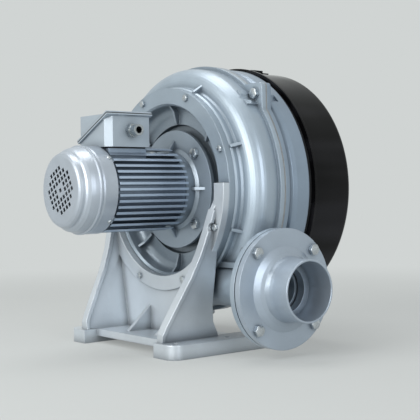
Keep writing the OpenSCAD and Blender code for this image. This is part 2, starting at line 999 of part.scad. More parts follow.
// Upright rods on the ring and two level rods across them
module guard_rods() {
  reach = guard_rim_r - 1;
  pairs = floor(drum_mouth_r / rod_pitch);
  upright_x = drum_back + guard_t + rod_r;
  color("#8a8e92")
    for (side = [-1, 1]) {
      for (i = [0.5 : pairs - 0.5]) {
        y = side * i * rod_pitch;
        half = sqrt(reach * reach - y * y);
        translate([upright_x, y, shaft_h - half])
          cylinder(h = 2 * half, r = rod_r);
      }
      level = side * 1.5 * rod_pitch;
      span = sqrt(reach * reach - level * level);
      pin_y(-span, span, upright_x + 2 * rod_r, shaft_h + level, rod_r);
    }
}

guard_rods();

module guard_screws() {
  head_x = drum_back + guard_t;
  color("#8a8d90")
    round_shaft(rear_screws, rear_turn) {
      pin_x(drum_back - drum_wall - 3, head_x, 0, guard_bolt_r, m4_r);
      pin_x(head_x, head_x + 2.2, 0, guard_bolt_r, m4_head_r);
    }
}

guard_screws();

// Black clip plate on top of the drum

// Copies a shape to each bracket screw, on the drum wall
module at_bracket_screws() {
  for (dx = [-bracket_screw_dx, bracket_screw_dx])
    translate([bracket_x + dx, 0, shaft_h + drum_r])
      children();
}

module drum_bracket() {
  half_l = 28;
  half_w = 11;
  plate = 3;
  base = shaft_h + drum_r;
  color("#17191c")
    difference() {
      union() {
        difference() {
          translate([bracket_x - half_l, -half_w, base - plate])
            cube([2 * half_l, 2 * half_w, 2 * plate]);
          bar(bracket_x - half_l - 1, bracket_x + half_l + 1, drum_r, $fn = 720);
        }
        for (y = [-half_w, half_w - plate])
          translate([bracket_x - half_l / 2, y, base + plate - 1])
            cube([half_l, plate, 5]);
      }
      at_bracket_screws()
        translate([0, 0, -8])
          cylinder(h = 20, r = m4_r + bolt_play);
    }
}

drum_bracket();

module bracket_screws() {
  seat = 3;
  color("#2a2c2f")
    at_bracket_screws() {
      translate([0, 0, 0.1 - drum_wall])
        cylinder(h = drum_wall + seat - 0.1, r = m4_r);
      translate([0, 0, seat])
        cylinder(h = 2.4, r = 4);
    }
}

bracket_screws();

// Outlet pipe with its flange and gasket

module outlet_gasket() {
  color("#2c2f31")
    difference() {
      pin_y(-flange_y - out_gasket_t, -flange_y, out_x, out_z, out_flange_r - 2);
      pin_y(-flange_y - out_gasket_t - 1, -flange_y + 1, out_x, out_z, duct_bore + 4);
      outlet_bolt_holes(-flange_y - out_gasket_t - 1, -flange_y + 1);
    }
}

outlet_gasket();

pipe_face = flange_y + out_gasket_t;
pipe_front = pipe_face + out_flange_t;

module outlet_pipe() {
  step_y = pipe_front + 4;
  bore = pipe_r - pipe_wall;
  neck_end = pipe_front + 16;
  color("#b6bec4")
    difference() {
      translate([out_x, 0, out_z])
        rotate([quarter, 0, 0])
          rotate_extrude()
            polygon(concat(
              [[duct_bore + 5, pipe_face], [out_flange_r, pipe_face], [out_flange_r, pipe_front]],
              [[neck_r, pipe_front], [neck_r - 3, pipe_front + 1.5], [pipe_r + 8, pipe_front + 5]],
              [[pipe_r + 3, pipe_front + 9], [pipe_r + 0.8, neck_end], [pipe_r, neck_end + 6]],
              [[pipe_r, mouth_y - 1], [pipe_r - 1, mouth_y], [bore + 0.8, mouth_y]],
              [[bore, mouth_y - 1], [bore, step_y], [duct_bore + 5, step_y]]
            ));
      outlet_bolt_holes(-pipe_front - 1, -pipe_face + 1);
    }
}

outlet_pipe();

module outlet_bolts() {
  color("#a6aaae")
    at_outlet_bolts() {
      pin_y(-pipe_front, -flange_y + out_flange_t + m10_nut + 3, 0, 0, out_bolt);
      hex_y(-pipe_front - m10_head, -pipe_front, 0, 0, m10_hex_r);
    }
}

outlet_bolts();

module outlet_nuts() {
  back = -flange_y + out_flange_t;
  color("#a6aaae")
    at_outlet_bolts()
      difference() {
        hex_y(back, back + m10_nut, 0, 0, m10_hex_r);
        pin_y(back - 1, back + m10_nut + 1, 0, 0, out_bolt + fit);
      }
}

outlet_nuts();

// Rotor

fan_seat = 9;
rear_seat = 10;
front_seat = 12.5;
wheel_seat = 12;
thread_r = 8;
coil_in_r = rotor_r + run_gap + 3;
coil_out_r = frame_bore - 3.5;
stack_x0 = frame_x0 + coil_l + 11;
stack_x1 = frame_x1 - coil_l - 3;
hub2_end = wheel2_x + 30;
hub1_end = wheel1_x + 20;
rear_brg_x0 = frame_x0 - 14;
rear_brg_x1 = rear_brg_x0 + 14;
front_brg_x0 = 30;
front_brg_x1 = front_brg_x0 + 15;
key_w = 6;
key_z = 9;
key_h = 6;
key_l = 14;
key_places = [wheel2_x + 5, wheel1_x + 3];
fan_x0 = cover_x + 21;
fan_x1 = rear_brg_x0 - 10;
fan_r = cover_face_r + 2;
fan_plate_r = fan_r - 10;
fan_hub_r = fan_seat + 6;
clip_x0 = fan_x0 - 4;
clip_x1 = clip_x0 + 1.2;

module rotor_shaft() {
  color("#c3c6c8")
    difference() {
      union() {
        bar(clip_x0 - 2, rear_brg_x0, fan_seat);
        bar(rear_brg_x0, rear_brg_x1 + 1, rear_seat);
        bar(rear_brg_x1 + 1, front_brg_x0, shaft_r);
        bar(front_brg_x0, wheel2_x, front_seat);
        bar(wheel2_x, hub1_end, wheel_seat);
        bar(hub1_end, hub1_end + 16, thread_r);
      }
      for (x = key_places)
        translate([x, -key_w / 2, shaft_h + key_z])
          cube([key_l, key_w, key_h]);
      // Clip groove at the fan
      tube(clip_x0, clip_x1, fan_seat + 1, fan_seat - 1);
    }
}

rotor_shaft();

module rotor_core() {
  color("#6f7478")
    tube(stack_x0, stack_x1, rotor_r, shaft_r + fit);
}

rotor_core();

end_ring_l = 10;

module rotor_end_rings() {
  color("#b9bdc0") {
    end_ring(stack_x0 - end_ring_l, 1);
    end_ring(stack_x1, 0);
  }
}

// Cast ring with short blades on its outer end
module end_ring(x, outward) {
  blade = [5, 3, 8];
  tube(x, x + end_ring_l, rotor_r - 2, rotor_r - 13);
  shift = outward > 0 ? -blade[0] : end_ring_l;
  round_shaft(6)
    translate([x + shift, -blade[1] / 2, rotor_r - 12])
      cube(blade);
}

rotor_end_rings();

// Fan wheel with a back plate, curved blades, a coned shroud and a hub
module wheel(x, hub_end) {
  back_t = 2.5;
  collar = 4;
  x_tip = x + back_t + width_tip;
  x_eye = x + back_t + width_eye;
  in_x = x + back_t - 0.2;
  difference() {
    union() {
      tube(x, x + back_t, wheel_r, wheel_seat + fit);
      tube(x, hub_end, hub_r, wheel_seat + fit);
      turned([
        [wheel_r, x_tip], [wheel_r, x_tip + 2], [eye_r + 8, x_eye + 2], [eye_r + 2, x_eye + 4],
        [eye_r + 2, x_eye + collar + 2], [eye_r, x_eye + collar + 2], [eye_r, x_eye + 2],
        [eye_r + 5, x_eye]
      ]);
      intersection() {
        on_shaft(in_x)
          linear_extrude(width_eye + 2)
            for (i = [0 : blades - 1])
              rotate([0, 0, i * 360 / blades])
                blade_plan(eye_r + 4, wheel_r - 0.5, blade_sweep, blade_turn, blade_t);
        turned([
          [eye_r, in_x], [wheel_r, in_x], [wheel_r, x_tip + 0.5], [eye_r + 5, x_eye + 0.5],
          [eye_r, x_eye + 0.5]
        ]);
      }
    }
    translate([x - 1, -key_w / 2, shaft_h])
      cube([hub_end - x + 2, key_w, key_z + key_h]);
  }
}

module impeller_front() {
  color("#aeb3b7")
    wheel(wheel2_x, hub2_end);
}

impeller_front();

module impeller_rear() {
  color("#aeb3b7")
    wheel(wheel1_x, hub1_end);
}

impeller_rear();

module impeller_spacer() {
  color("#85898c")
    tube(hub2_end, wheel1_x, 18, wheel_seat + fit);
}

impeller_spacer();

module impeller_nut() {
  washer_t = 4;
  color("#8d9194")
    difference() {
      union() {
        bar(hub1_end, hub1_end + washer_t, 17);
        hex_x(hub1_end + washer_t, hub1_end + washer_t + 8, 0, shaft_h, 13.5);
      }
      bar(hub1_end - 1, hub1_end + 20, thread_r + fit);
    }
}

impeller_nut();

module impeller_keys() {
  color("#7b7f82")
    for (x = key_places)
      translate([x + fit, -key_w / 2 + fit, shaft_h + key_z + fit])
        cube([key_l - 2 * fit, key_w - 2 * fit, key_h - 2 * fit]);
}

impeller_keys();

// Ball bearings

// Outer race of a bearing with its shields
module race_outer(x0, x1, r_out, r_in) {
  mid = (x0 + x1) / 2;
  ball = (r_out - r_in) * 0.3;
  pitch = (r_out + r_in) / 2;
  difference() {
    tube(x0, x1, r_out, pitch + ball * 0.55);
    on_shaft(mid)
      rotate_extrude()
        translate([pitch, 0])
          circle(ball + run_gap);
  }
}

// Inner race of a bearing with its ball row
module race_inner(x0, x1, r_out, r_in) {
  mid = (x0 + x1) / 2;
  ball = (r_out - r_in) * 0.3;
  pitch = (r_out + r_in) / 2;
  tube(x0, x1, pitch - ball * 0.55, r_in);
  for (i = [0 : 7])
    at_angle(i * eighth)
      translate([mid, 0, pitch])
        sphere(ball);
}

front_brg_r = 26;
rear_brg_r = 23.5;

module front_bearing_outer() {
  color("#c9ccce")
    race_outer(front_brg_x0, front_brg_x1, front_brg_r, front_seat);
}

front_bearing_outer();

module front_bearing_inner() {
  color("#c9ccce")
    race_inner(front_brg_x0, front_brg_x1, front_brg_r, front_seat + fit);
}

front_bearing_inner();

module rear_bearing_outer() {
  color("#c9ccce")
    race_outer(rear_brg_x0, rear_brg_x1, rear_brg_r, rear_seat);
}

rear_bearing_outer();

module rear_bearing_inner() {
  color("#c9ccce")
    race_inner(rear_brg_x0, rear_brg_x1, rear_brg_r, rear_seat + fit);
}

rear_bearing_inner();

module wave_spring() {
  color("#9b9fa2")
    tube(rear_brg_x0 - 1.5, rear_brg_x0, rear_brg_r - fit, rear_brg_r - 3.5);
}

wave_spring();

// Lip seal in the motor seat of the front cover

module shaft_seal() {
  color("#26282a")
    tube(seat_x + spigot_l + 0.5, seat_back - 1, 18 - fit, front_seat + run_gap);
}

shaft_seal();

// Motor

module stator_core() {
  bore = rotor_r + run_gap;
  slot_w = 3.2;
  color("#7a7f83")
    difference() {
      tube(stack_x0, stack_x1, frame_bore - fit, bore);
      round_shaft(stator_slots)
        translate([stack_x0 - 1, -slot_w / 2, bore + 2])
          cube([stack_x1 - stack_x0 + 2, slot_w, 10]);
    }
}

stator_core();

module stator_windings() {
  color("#9c5a2a") {
    winding(stack_x0 - coil_l);
    winding(stack_x1);
  }
}

// End winding ring with rounded corners
module winding(x) {
  wide = 3;
  long = 4;
  turned([
    [coil_in_r, x], [coil_out_r - wide, x], [coil_out_r, x + long], [coil_out_r, x + coil_l - long],
    [coil_out_r - wide, x + coil_l], [coil_in_r + wide, x + coil_l], [coil_in_r, x + coil_l - long]
  ]);
}

stator_windings();

module motor_frame() {
  pad_half = 34;
  pad_z = 30;
  color("#7b8b9a")
    difference() {
      union() {
        tube(frame_x0, frame_x1, shell_r, frame_bore);
        // Parallel horizontal fins cut to a round outline
        intersection() {
          union() {
            for (i = [-fin_half_count : fin_half_count])
              translate([frame_x0, -far / 2, shaft_h + i * fin_pitch - fin_t / 2])
                cube([frame_x1 - frame_x0, far, fin_t]);
            // Upright keel that ties the lowest fin to the shell
            translate([frame_x0, -fin_t / 2, shaft_h - far])
              cube([frame_x1 - frame_x0, fin_t, far]);
          }
          tube(frame_x0, frame_x1, fin_r, frame_bore + 2);
        }
        // Pad under the terminal box
        difference() {
          translate([box_x0 + 6, -pad_half, shaft_h + pad_z])
            cube([box_x1 - box_x0 - 8, 2 * pad_half, box_z0 - box_gasket_t - pad_z]);
          bar(frame_x0 - 9, frame_x1 + 1, frame_bore + 1);
          translate([box_x0, -far / 2, 0])
            cube([frame_x0 - box_x0, far, far]);
        }
      }
      for (x = [frame_x0 - 1, frame_x1 - 14])
        round_shaft(4, eighth)
          pin_x(x, x + 15, 0, shell_mid_r, m4_r);
      // Level seat for the terminal box
      translate([frame_x0 - 1, -box_half - 4, shaft_h + box_z0 - box_gasket_t])
        cube([box_x1 - frame_x0 + 5, 2 * box_half + 8, 20]);
    }
}

motor_frame();

// Drive end shield with the mounting flange

shell_mid_r = (shell_r + frame_bore) / 2;
shield_seat_x = flange_x - 14;

module flange_end_shield() {
  web_x = front_brg_x1;
  hub_out = front_brg_r + 7;
  color("#a3abb1")
    difference() {
      union() {
        tube(front_brg_x0 - 1, web_x + 2, hub_out, front_brg_r + fit);
        tube(web_x, flange_x + 6, shell_r, front_seat + run_gap);
        turned([
          [frame_bore, frame_x1], [shell_r + 1, frame_x1], [shell_r + 2, flange_x - 4],
          [shell_r + 8, flange_x], [frame_bore, flange_x + 1]
        ]);
        tube(frame_x1 - 5, frame_x1 + 2, frame_bore - fit, frame_bore - 5);
        tube(flange_x, flange_x + 6, flange_r, spigot_r - 12);
        tube(flange_x, seat_x, seat_r, spigot_r - 12);
        tube(seat_x - 8, seat_x + spigot_l, spigot_r, spigot_r - 12);
        tube(frame_x1, flange_x + 2, frame_bore + 2, frame_bore - 5);
        round_shaft(4)
          rib([
            [flange_x - 14, shell_r - 2], [flange_x - 10, shell_r + 8], [flange_x + 1, shell_r + 24],
            [flange_x + 1, shell_r - 2]
          ], 5);
      }
      round_shaft(4, eighth)
        pin_x(flange_x - 30, seat_x + 1, 0, flange_bolt_r, m10_r + bolt_play);
      round_shaft(4, eighth)
        pin_x(frame_x1 - 1, flange_x + 2, 0, shell_mid_r, m4_r + bolt_play);
      round_shaft(4, eighth)
        pin_x(shield_seat_x, flange_x + 2, 0, shell_mid_r, 4.5);
    }
}

flange_end_shield();

module rear_end_shield() {
  wall = 4;
  lug = 12;
  lug_w = 14;
  hub_out = rear_brg_r + 6;
  color("#9aa2a8")
    difference() {
      union() {
        tube(rear_brg_x0 - 2, rear_brg_x1, hub_out, rear_brg_r + fit);
        tube(rear_brg_x0 - 5, rear_brg_x0 - 1.5, hub_out, rear_seat + run_gap);
        tube(frame_x0 - wall, frame_x0, shell_r, rear_brg_r + 4);
        tube(frame_x0 - wall, frame_x0 + 4, frame_bore - fit, frame_bore - 5);
        // Lugs that carry the fan cover
        round_shaft(4, eighth)
          translate([frame_x0 - lug, -lug_w / 2, shell_r - lug])
            cube([lug, lug_w, cover_r - cover_t - shell_r + lug - 0.4]);
      }
      round_shaft(4, eighth)
        translate([cover_screw_x, 0, shell_r - 6])
          cylinder(h = 20, r = m4_r + fit);
      round_shaft(4, 0)
        pin_x(frame_x0 - wall - 1, frame_x0 + 1, 0, shell_mid_r, m4_r + bolt_play);
    }
}

rear_end_shield();

module motor_flange_bolts() {
  color("#b5b7b6")
    round_shaft(4, eighth) {
      pin_x(flange_x, seat_back - 2, 0, flange_bolt_r, m10_r);
      hex_x(flange_x - m10_head, flange_x, 0, flange_bolt_r, m10_hex_r);
    }
}

motor_flange_bolts();

module shield_screws() {
  head = 3.5;
  color("#8a8d90")
    round_shaft(4, eighth) {
      pin_x(frame_x1 - 10, shield_seat_x, 0, shell_mid_r, m4_r - fit);
      pin_x(shield_seat_x, shield_seat_x + head, 0, shell_mid_r, 3.6);
    }
}

shield_screws();

// Cooling fan

module cooling_fan() {
  plate = 3;
  blade = 2;
  foot_r = fan_hub_r - 1;
  color("#2f3336")
    union() {
      tube(fan_x0 - 2, fan_x1, fan_hub_r, fan_seat + fit);
      tube(fan_x1 - plate, fan_x1, fan_plate_r, fan_seat + fit);
      round_shaft(fan_blades)
        translate([fan_x0, -blade / 2, foot_r])
          cube([fan_x1 - fan_x0, blade, fan_r - foot_r]);
    }
}

cooling_fan();

module fan_clip() {
  color("#6e7275")
    difference() {
      tube(clip_x0 + fit, clip_x1 - fit, fan_seat + 3, fan_seat - 1 + fit);
      translate([clip_x0 - 1, -3, shaft_h])
        cube([3, 6, 20]);
    }
}

fan_clip();

// Spun fan cover with a lattice of air holes

cover_screw_x = frame_x0 - 8;
cover_line = [
  [cover_face_r - 2, cover_x], [cover_face_r, cover_x + 0.4], [cover_face_r + 3.5, cover_x + 2.2],
  [cover_face_r + 5.5, cover_x + 5.5], [cover_face_r + 6, cover_x + 10],
  [cover_face_r + 9, cover_x + 12.5], [cover_face_r + 12, cover_x + 17],
  [cover_face_r + 13.5, cover_x + 24], [cover_face_r + 14.5, cover_x + 31],
  [cover_r + 0.6, cover_x + 32], [cover_r + 0.6, cover_x + 35], [cover_r - 0.8, cover_x + 36.5],
  [cover_r, cover_x + 40]
];

module fan_cover() {
  color("#bcc3c9")
    difference() {
      turned(concat(
        [[0, cover_x]], cover_line, [[cover_r, cover_end], [cover_r - cover_t, cover_end]],
        flipped([for (p = cover_line) [p[0] - cover_t, p[1] + cover_t]]),
        [[0, cover_x + cover_t]]
      ));
      air_holes();
      round_shaft(4, eighth)
        translate([cover_screw_x, 0, shell_r])
          cylinder(h = 20, r = m4_r + bolt_play);
    }
}

// Square holes on a turned lattice inside an octagon, the middle four replaced by one
module air_holes() {
  last = (grid_rows - 1) / 2;
  on_shaft(cover_x - 1)
    linear_extrude(cover_t + 2)
      rotate([0, 0, -grid_turn]) {
        square(grid_hole, center = true);
        for (i = [-last : last], j = [-last : last])
          if (abs(i) + abs(j) > 1 && abs(i) + abs(j) <= last + 1.5)
            translate([i * grid_pitch, j * grid_pitch])
              square(grid_hole, center = true);
      }
}

fan_cover();

module fan_cover_screws() {
  color("#8a8d90")
    round_shaft(4, eighth)
      translate([cover_screw_x, 0, 0]) {
        translate([0, 0, shell_r - 4])
          cylinder(h = cover_r - shell_r + 4, r = m4_r);
        translate([0, 0, cover_r])
          cylinder(h = 2.2, r = m4_head_r);
      }
}

fan_cover_screws();

// Terminal box, split along a slope from the near top to the far bottom

// Places a [y, height over shaft] outline between two stations along X
module box_section(x0, x1) {
  translate([x0, 0, shaft_h])
    rotate([quarter, 0, quarter])
      linear_extrude(x1 - x0)
        children();
}

slope_run = 2 * box_half;
slope_drop = box_z1 - box_low;
slope_a = atan2(-slope_drop, slope_run);
slope_l = norm([slope_run, slope_drop]);
box_post_r = 5;
box_screw_l = 8;
base_face = [[-box_half, box_z0], [box_half, box_z0], [box_half, box_low], [-box_half, box_z1]];
cover_face = [[-box_half, box_z1], [box_half, box_low], [box_half, box_z1]];

box_gasket_t = 2;

module terminal_box_gasket() {
  strip = 8;
  x0 = box_x0 + 8;
  y0 = -box_half + 6;
  size_x = box_x1 - box_x0 - 12;
  size_y = -2 * y0;
  z0 = shaft_h + box_z0 - box_gasket_t;
  color("#1f2224")
    difference() {
      translate([x0, y0, z0])
        cube([size_x, size_y, box_gasket_t]);
      translate([x0 + strip, y0 + strip, z0 - 1])
        cube([size_x - 2 * strip, size_y - 2 * strip, box_gasket_t + 2]);
    }
}

terminal_box_gasket();

// Lip plate along the sloping joint, side 0 below the joint and 1 above
module slope_lip(side) {
  over = box_lip;
  translate([box_x0 - over, -box_half, shaft_h + box_z1])
    rotate([slope_a, 0, 0])
      translate([0, -over, side > 0 ? 0 : -lip_t])
        cube([box_x1 - box_x0 + 2 * over, slope_l + 2 * over, lip_t]);
}

// Four corner points of the joint screws, in the plane of the slope
module at_cover_screws() {
  in = 5;
  near_in = 10;
  translate([0, -box_half, shaft_h + box_z1])
    rotate([slope_a, 0, 0])
      for (x = [box_x0 + near_in, box_x1 - in], y = [near_in, slope_l - in])
        translate([x, y, 0])
          children();
}

module terminal_box_base() {
  in = box_wall;
  color("#98a4ae")
    difference() {
      union() {
        box_section(box_x0, box_x1)
          polygon(base_face);
        slope_lip(0);
      }
      difference() {
        box_section(box_x0 + in, box_x1 - in)
          polygon([
            [-box_half + in, box_z0 + in], [box_half - in, box_z0 + in],
            [box_half - in, box_z1 + 10], [-box_half + in, box_z1 + 10]
          ]);
        at_cover_screws()
          translate([0, 0, -14])
            cylinder(h = 20, r = box_post_r);
      }
      at_cover_screws()
        translate([0, 0, -box_screw_l - 1])
          cylinder(h = 20, r = m4_r + fit);
      translate([box_x0 + 24, -box_half + 20, shaft_h + box_z0 - 1])
        cube([box_x1 - box_x0 - 48, 2 * box_half - 40, in + 2]);
      pin_y(-box_half - 1, -box_half + in + 1, gland_x, shaft_h + gland_z, gland_r - 2 + fit);
    }
}

gland_z = 94;
gland_x = (box_x0 + box_x1) / 2 + 5;
gland_hex_l = 8;
gland_hex_r = gland_r + 2.5;

terminal_box_base();

module terminal_box_cover() {
  in = box_wall;
  color("#98a4ae")
    difference() {
      union() {
        box_section(box_x0 + 1, box_x1 - 1)
          polygon(cover_face);
        slope_lip(1);
      }
      difference() {
        box_section(box_x0 + 1 + in, box_x1 - 1 - in)
          polygon([
            [-box_half + 3 * in, box_z1 - in], [-box_half + 3 * in, box_low], [box_half - in, box_low - 6],
            [box_half - in, box_z1 - in]
          ]);
        at_cover_screws()
          cylinder(h = 30, r = box_post_r);
      }
      at_cover_screws()
        translate([0, 0, -5])
          cylinder(h = 60, r = m4_r + bolt_play);
      at_cover_screws()
        translate([0, 0, lip_t])
          cylinder(h = 60, r = 4.2);
    }
}

terminal_box_cover();

module terminal_cover_screws() {
  color("#8a8d90")
    at_cover_screws() {
      translate([0, 0, -box_screw_l])
        cylinder(h = box_screw_l + lip_t, r = m4_r);
      translate([0, 0, lip_t])
        cylinder(h = 2.6, r = 3.6);
    }
}

terminal_cover_screws();

block_x0 = -88;
block_l = 44;
block_w = 22;
block_z = shaft_h + box_z0 + box_wall;

module terminal_block() {
  color("#6b4a2f")
    difference() {
      union() {
        translate([block_x0, -block_w / 2, block_z])
          cube([block_l, block_w, 6]);
        for (i = [1, 2])
          translate([block_x0 + i * block_l / 3 - 1, -block_w / 2, block_z + 5])
            cube([2, block_w, 5]);
      }
      at_studs()
        translate([0, 0, -1])
          cylinder(h = 30, r = m4_r + fit);
    }
}

// Six stud places in two rows
module at_studs() {
  for (i = [0.5 : 1 : 2.5], y = [-6, 6])
    translate([block_x0 + i * block_l / 3, y, block_z])
      children();
}

terminal_block();

module terminal_studs() {
  color("#b08d3c")
    at_studs()
      union() {
        translate([0, 0, 1])
          cylinder(h = 15, r = m4_r);
        translate([0, 0, 6])
          linear_extrude(4)
            circle(3.9, $fn = 6);
      }
}

terminal_studs();

module cable_gland() {
  wall_y = -box_half;
  color("#a7afb5")
    difference() {
      union() {
        pin_y(wall_y - gland_l, wall_y - gland_hex_l, gland_x, shaft_h + gland_z, gland_r);
        hex_y(wall_y - gland_hex_l, wall_y, gland_x, shaft_h + gland_z, gland_hex_r);
        pin_y(wall_y, wall_y + box_wall + 8, gland_x, shaft_h + gland_z, gland_r - 2);
      }
      pin_y(wall_y - gland_l - 1, wall_y + 20, gland_x, shaft_h + gland_z, gland_bore);
    }
}

cable_gland();

module gland_nut() {
  in_y = -box_half + box_wall;
  color("#a7afb5")
    difference() {
      hex_y(in_y, in_y + 4, gland_x, shaft_h + gland_z, gland_hex_r);
      pin_y(in_y - 1, in_y + 5, gland_x, shaft_h + gland_z, gland_r - 2 + fit);
    }
}

gland_nut();
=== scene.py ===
"""Finishes, fasteners and studio of a two-stage industrial blower."""

import json
import math

import bmesh
import bpy
import numpy as np
from bpy.props import FloatProperty, FloatVectorProperty, PointerProperty
from mathutils import Matrix, Vector


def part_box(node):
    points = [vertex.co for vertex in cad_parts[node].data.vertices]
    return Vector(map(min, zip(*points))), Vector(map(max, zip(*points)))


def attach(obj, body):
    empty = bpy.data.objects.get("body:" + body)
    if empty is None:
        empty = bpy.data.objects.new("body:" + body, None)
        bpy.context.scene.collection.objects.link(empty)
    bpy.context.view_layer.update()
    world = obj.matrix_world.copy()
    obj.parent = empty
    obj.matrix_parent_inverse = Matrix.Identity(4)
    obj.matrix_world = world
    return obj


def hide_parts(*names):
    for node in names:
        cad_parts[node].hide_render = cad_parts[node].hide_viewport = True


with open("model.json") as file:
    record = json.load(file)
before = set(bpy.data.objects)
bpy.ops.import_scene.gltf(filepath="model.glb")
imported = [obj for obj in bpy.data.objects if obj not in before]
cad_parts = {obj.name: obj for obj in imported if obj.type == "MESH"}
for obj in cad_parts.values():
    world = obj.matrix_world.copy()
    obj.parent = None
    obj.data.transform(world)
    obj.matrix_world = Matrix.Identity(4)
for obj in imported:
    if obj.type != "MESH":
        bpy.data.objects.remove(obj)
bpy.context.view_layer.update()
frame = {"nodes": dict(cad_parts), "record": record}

bl_info = {
    "name": "Industrial Blower",
    "version": (1, 0, 0),
    "blender": (4, 5, 0),
    "location": "3D View > Sidebar > Blower",
    "description": "Finishes, fasteners and studio of a two-stage industrial blower",
    "category": "Object",
}

MM = 0.001
IMAGE_SIDE = 420
SENSOR_MM = 36.0
VIEW_END = 40  # The camera sees no further, in metres.
X_AXIS, Y_AXIS, Z_AXIS = Vector((1, 0, 0)), Vector((0, 1, 0)), Vector((0, 0, 1))
WHITE = (1, 1, 1, 1)

# The colour sockets of a mix node.
MIX_A, MIX_B, MIX_OUT = 6, 7, 2
# Metres from band to band of a wave texture at scale 1, along X and on the diagonal.
WAVE_STEP = 2 * math.pi / 20
DIAGONAL_STEP = 2 * math.pi / (10 * math.sqrt(3))

# Points closer than this are one point.
WELD = 0.002 * MM
# Points closer than this to a height lie at it.
LEVEL_GAP = 0.02 * MM
# Points past the first share of a fastener's widest radius are its head, and under the second its shank.
HEAD_SHARE, SHANK_SHARE = 0.75, 0.7
# Shanks up to this radius have a thread of this share of the pitch.
SMALL_SHANK, SMALL_PITCH = 3.5 * MM, 0.6
# Longest thread that is drawn on a shank, and its depth over its pitch.
THREAD_RUN, THREAD_DEPTH = 14 * MM, 0.55
# How far a cutting tool stands clear of what it cuts.
CLEAR = 1 * MM

# The terminal box's sloping joint: a point on it, its normal, and how far the lip reaches under it.
JOINT_POINT = Vector((0, -0.041, 0.382))
JOINT_NORMAL = Vector((0, 0.040, 0.082)).normalized()
JOINT_LIP = 3 * MM

LAMP_AIM = (0.07, 0, 0.25)
# Place, size, colour and power property of each lamp.
LAMPS = {
    "key_softbox": ((-2.0, -0.1, 1.3), (1.5, 1.5), "#fffdf9", "key_power"),
    "front_softbox": ((-2.1, -0.85, 0.55), (1.7, 1.3), "#ffffff", "front_power"),
    "side_softbox": ((-0.2, -2.3, 0.8), (0.5, 1.6), "#f4f8ff", "side_power"),
    "top_softbox": ((0.1, 0.4, 2.2), (1.8, 1.0), "#ffffff", "top_power"),
}

slots = {part["node"]: part["material_slot"] for part in frame["record"]["subparts"]}
finishes = {}


def linear(hex_colour):
    """Linear RGBA of an sRGB hex value."""
    parts = [int(hex_colour[i:i + 2], 16) / 255 for i in (1, 3, 5)]
    return [c / 12.92 if c <= 0.04045 else ((c + 0.055) / 1.055) ** 2.4 for c in parts] + [1.0]


def colour_prop(label, about, hex_colour):
    """A colour that the panel shows."""
    return FloatVectorProperty(
        name=label, description=about, subtype="COLOR", size=4, min=0, max=1, default=linear(hex_colour)
    )


def length_prop(label, about, metres):
    """A length that the panel shows."""
    return FloatProperty(name=label, description=about, subtype="DISTANCE", unit="LENGTH", default=metres)


def power_prop(label, about, watts):
    """A lamp's power that the panel shows."""
    return FloatProperty(name=label, description=about, unit="POWER", default=watts, min=0)


class BlowerSizes(bpy.types.PropertyGroup):
    """Sizes of the pieces that are modelled round the frame."""

    head_face: FloatProperty(
        name="Head face", description="Width of a hexagon head's round face over its width across flats",
        default=0.94, min=0.7, max=1,
    )
    head_edge: length_prop("Head edge", "Bevel of the lower edge of a hexagon head", 0.25 * MM)
    tip_chamfer: length_prop("Tip chamfer", "Chamfer on the end of a screw", 0.5 * MM)
    recess_width: length_prop("Recess width", "Width of each arm of a cross recess", 1.1 * MM)
    recess_depth: length_prop("Recess depth", "Depth of a cross recess", 1.3 * MM)
    thread_pitch: length_prop("Thread pitch", "Pitch of the thread on the free bolt ends", 1.5 * MM)
    box_chamfer: length_prop("Box chamfer", "Leg of the chamfer on the terminal box's near corner", 10 * MM)
    box_wall: length_prop("Box wall", "Wall of the terminal box behind its chamfer", 3.5 * MM)
    wall_spare: length_prop("Wall spare", "How much of that wall's outside is cut off", 0.9 * MM)
    wall_inset: length_prop("Wall inset", "How far its ends stay inside the box's sides", 1.1 * MM)
    wall_drop: length_prop("Wall drop", "How far its top stays under the joint", 0.3 * MM)


class BlowerColours(bpy.types.PropertyGroup):
    """Colours of the finishes and of the studio."""

    # One silver enamel covers the stand, cover, casing, rear casing, outlet and motor flanges. The lighter
    # and darker tones given to each part are partly the part's own tone and partly painted light and shade,
    # set to match how light falls on that part.
    stand: colour_prop("Stand", "Silver-grey enamel of the stand", "#ccd4db")
    cover: colour_prop("Front cover", "Silver enamel of the front cover", "#9eacb8")
    casing: colour_prop("Casing", "Silver enamel of the volute casing", "#a4b2be")
    rear: colour_prop("Rear casing", "Silver enamel of the rear casing", "#8c9cac")
    pipe: colour_prop("Outlet", "Silver enamel of the outlet flange", "#a9b5c1")
    motor: colour_prop("Motor frame", "Blue-grey enamel of the finned frame", "#abbccf")
    shield: colour_prop("Motor flange", "Light silver enamel of the motor flange", "#98a5b1")
    fan_cover: colour_prop("Fan cover", "Silver lacquer of the fan cover", "#b4bdc7")
    box: colour_prop("Terminal box", "Pale grey enamel of the terminal box", "#a8b4be")
    drum: colour_prop("Intake drum", "Black gloss enamel of the intake drum", "#060607")
    zinc: colour_prop("Zinc", "Zinc plating of the bolts", "#c6ccd0")
    steel: colour_prop("Steel", "Ground and rolled steel", "#a2a4a6")
    aluminium: colour_prop("Cast aluminium", "Unpainted cast aluminium", "#b4b6b7")
    rubber: colour_prop("Rubber", "Black rubber of seals and gaskets", "#17181a")
    backdrop: colour_prop("Backdrop", "Pale grey behind the blower", "#d0d4d3")
    floor: colour_prop("Floor", "Pale grey floor", "#bdc1c0")


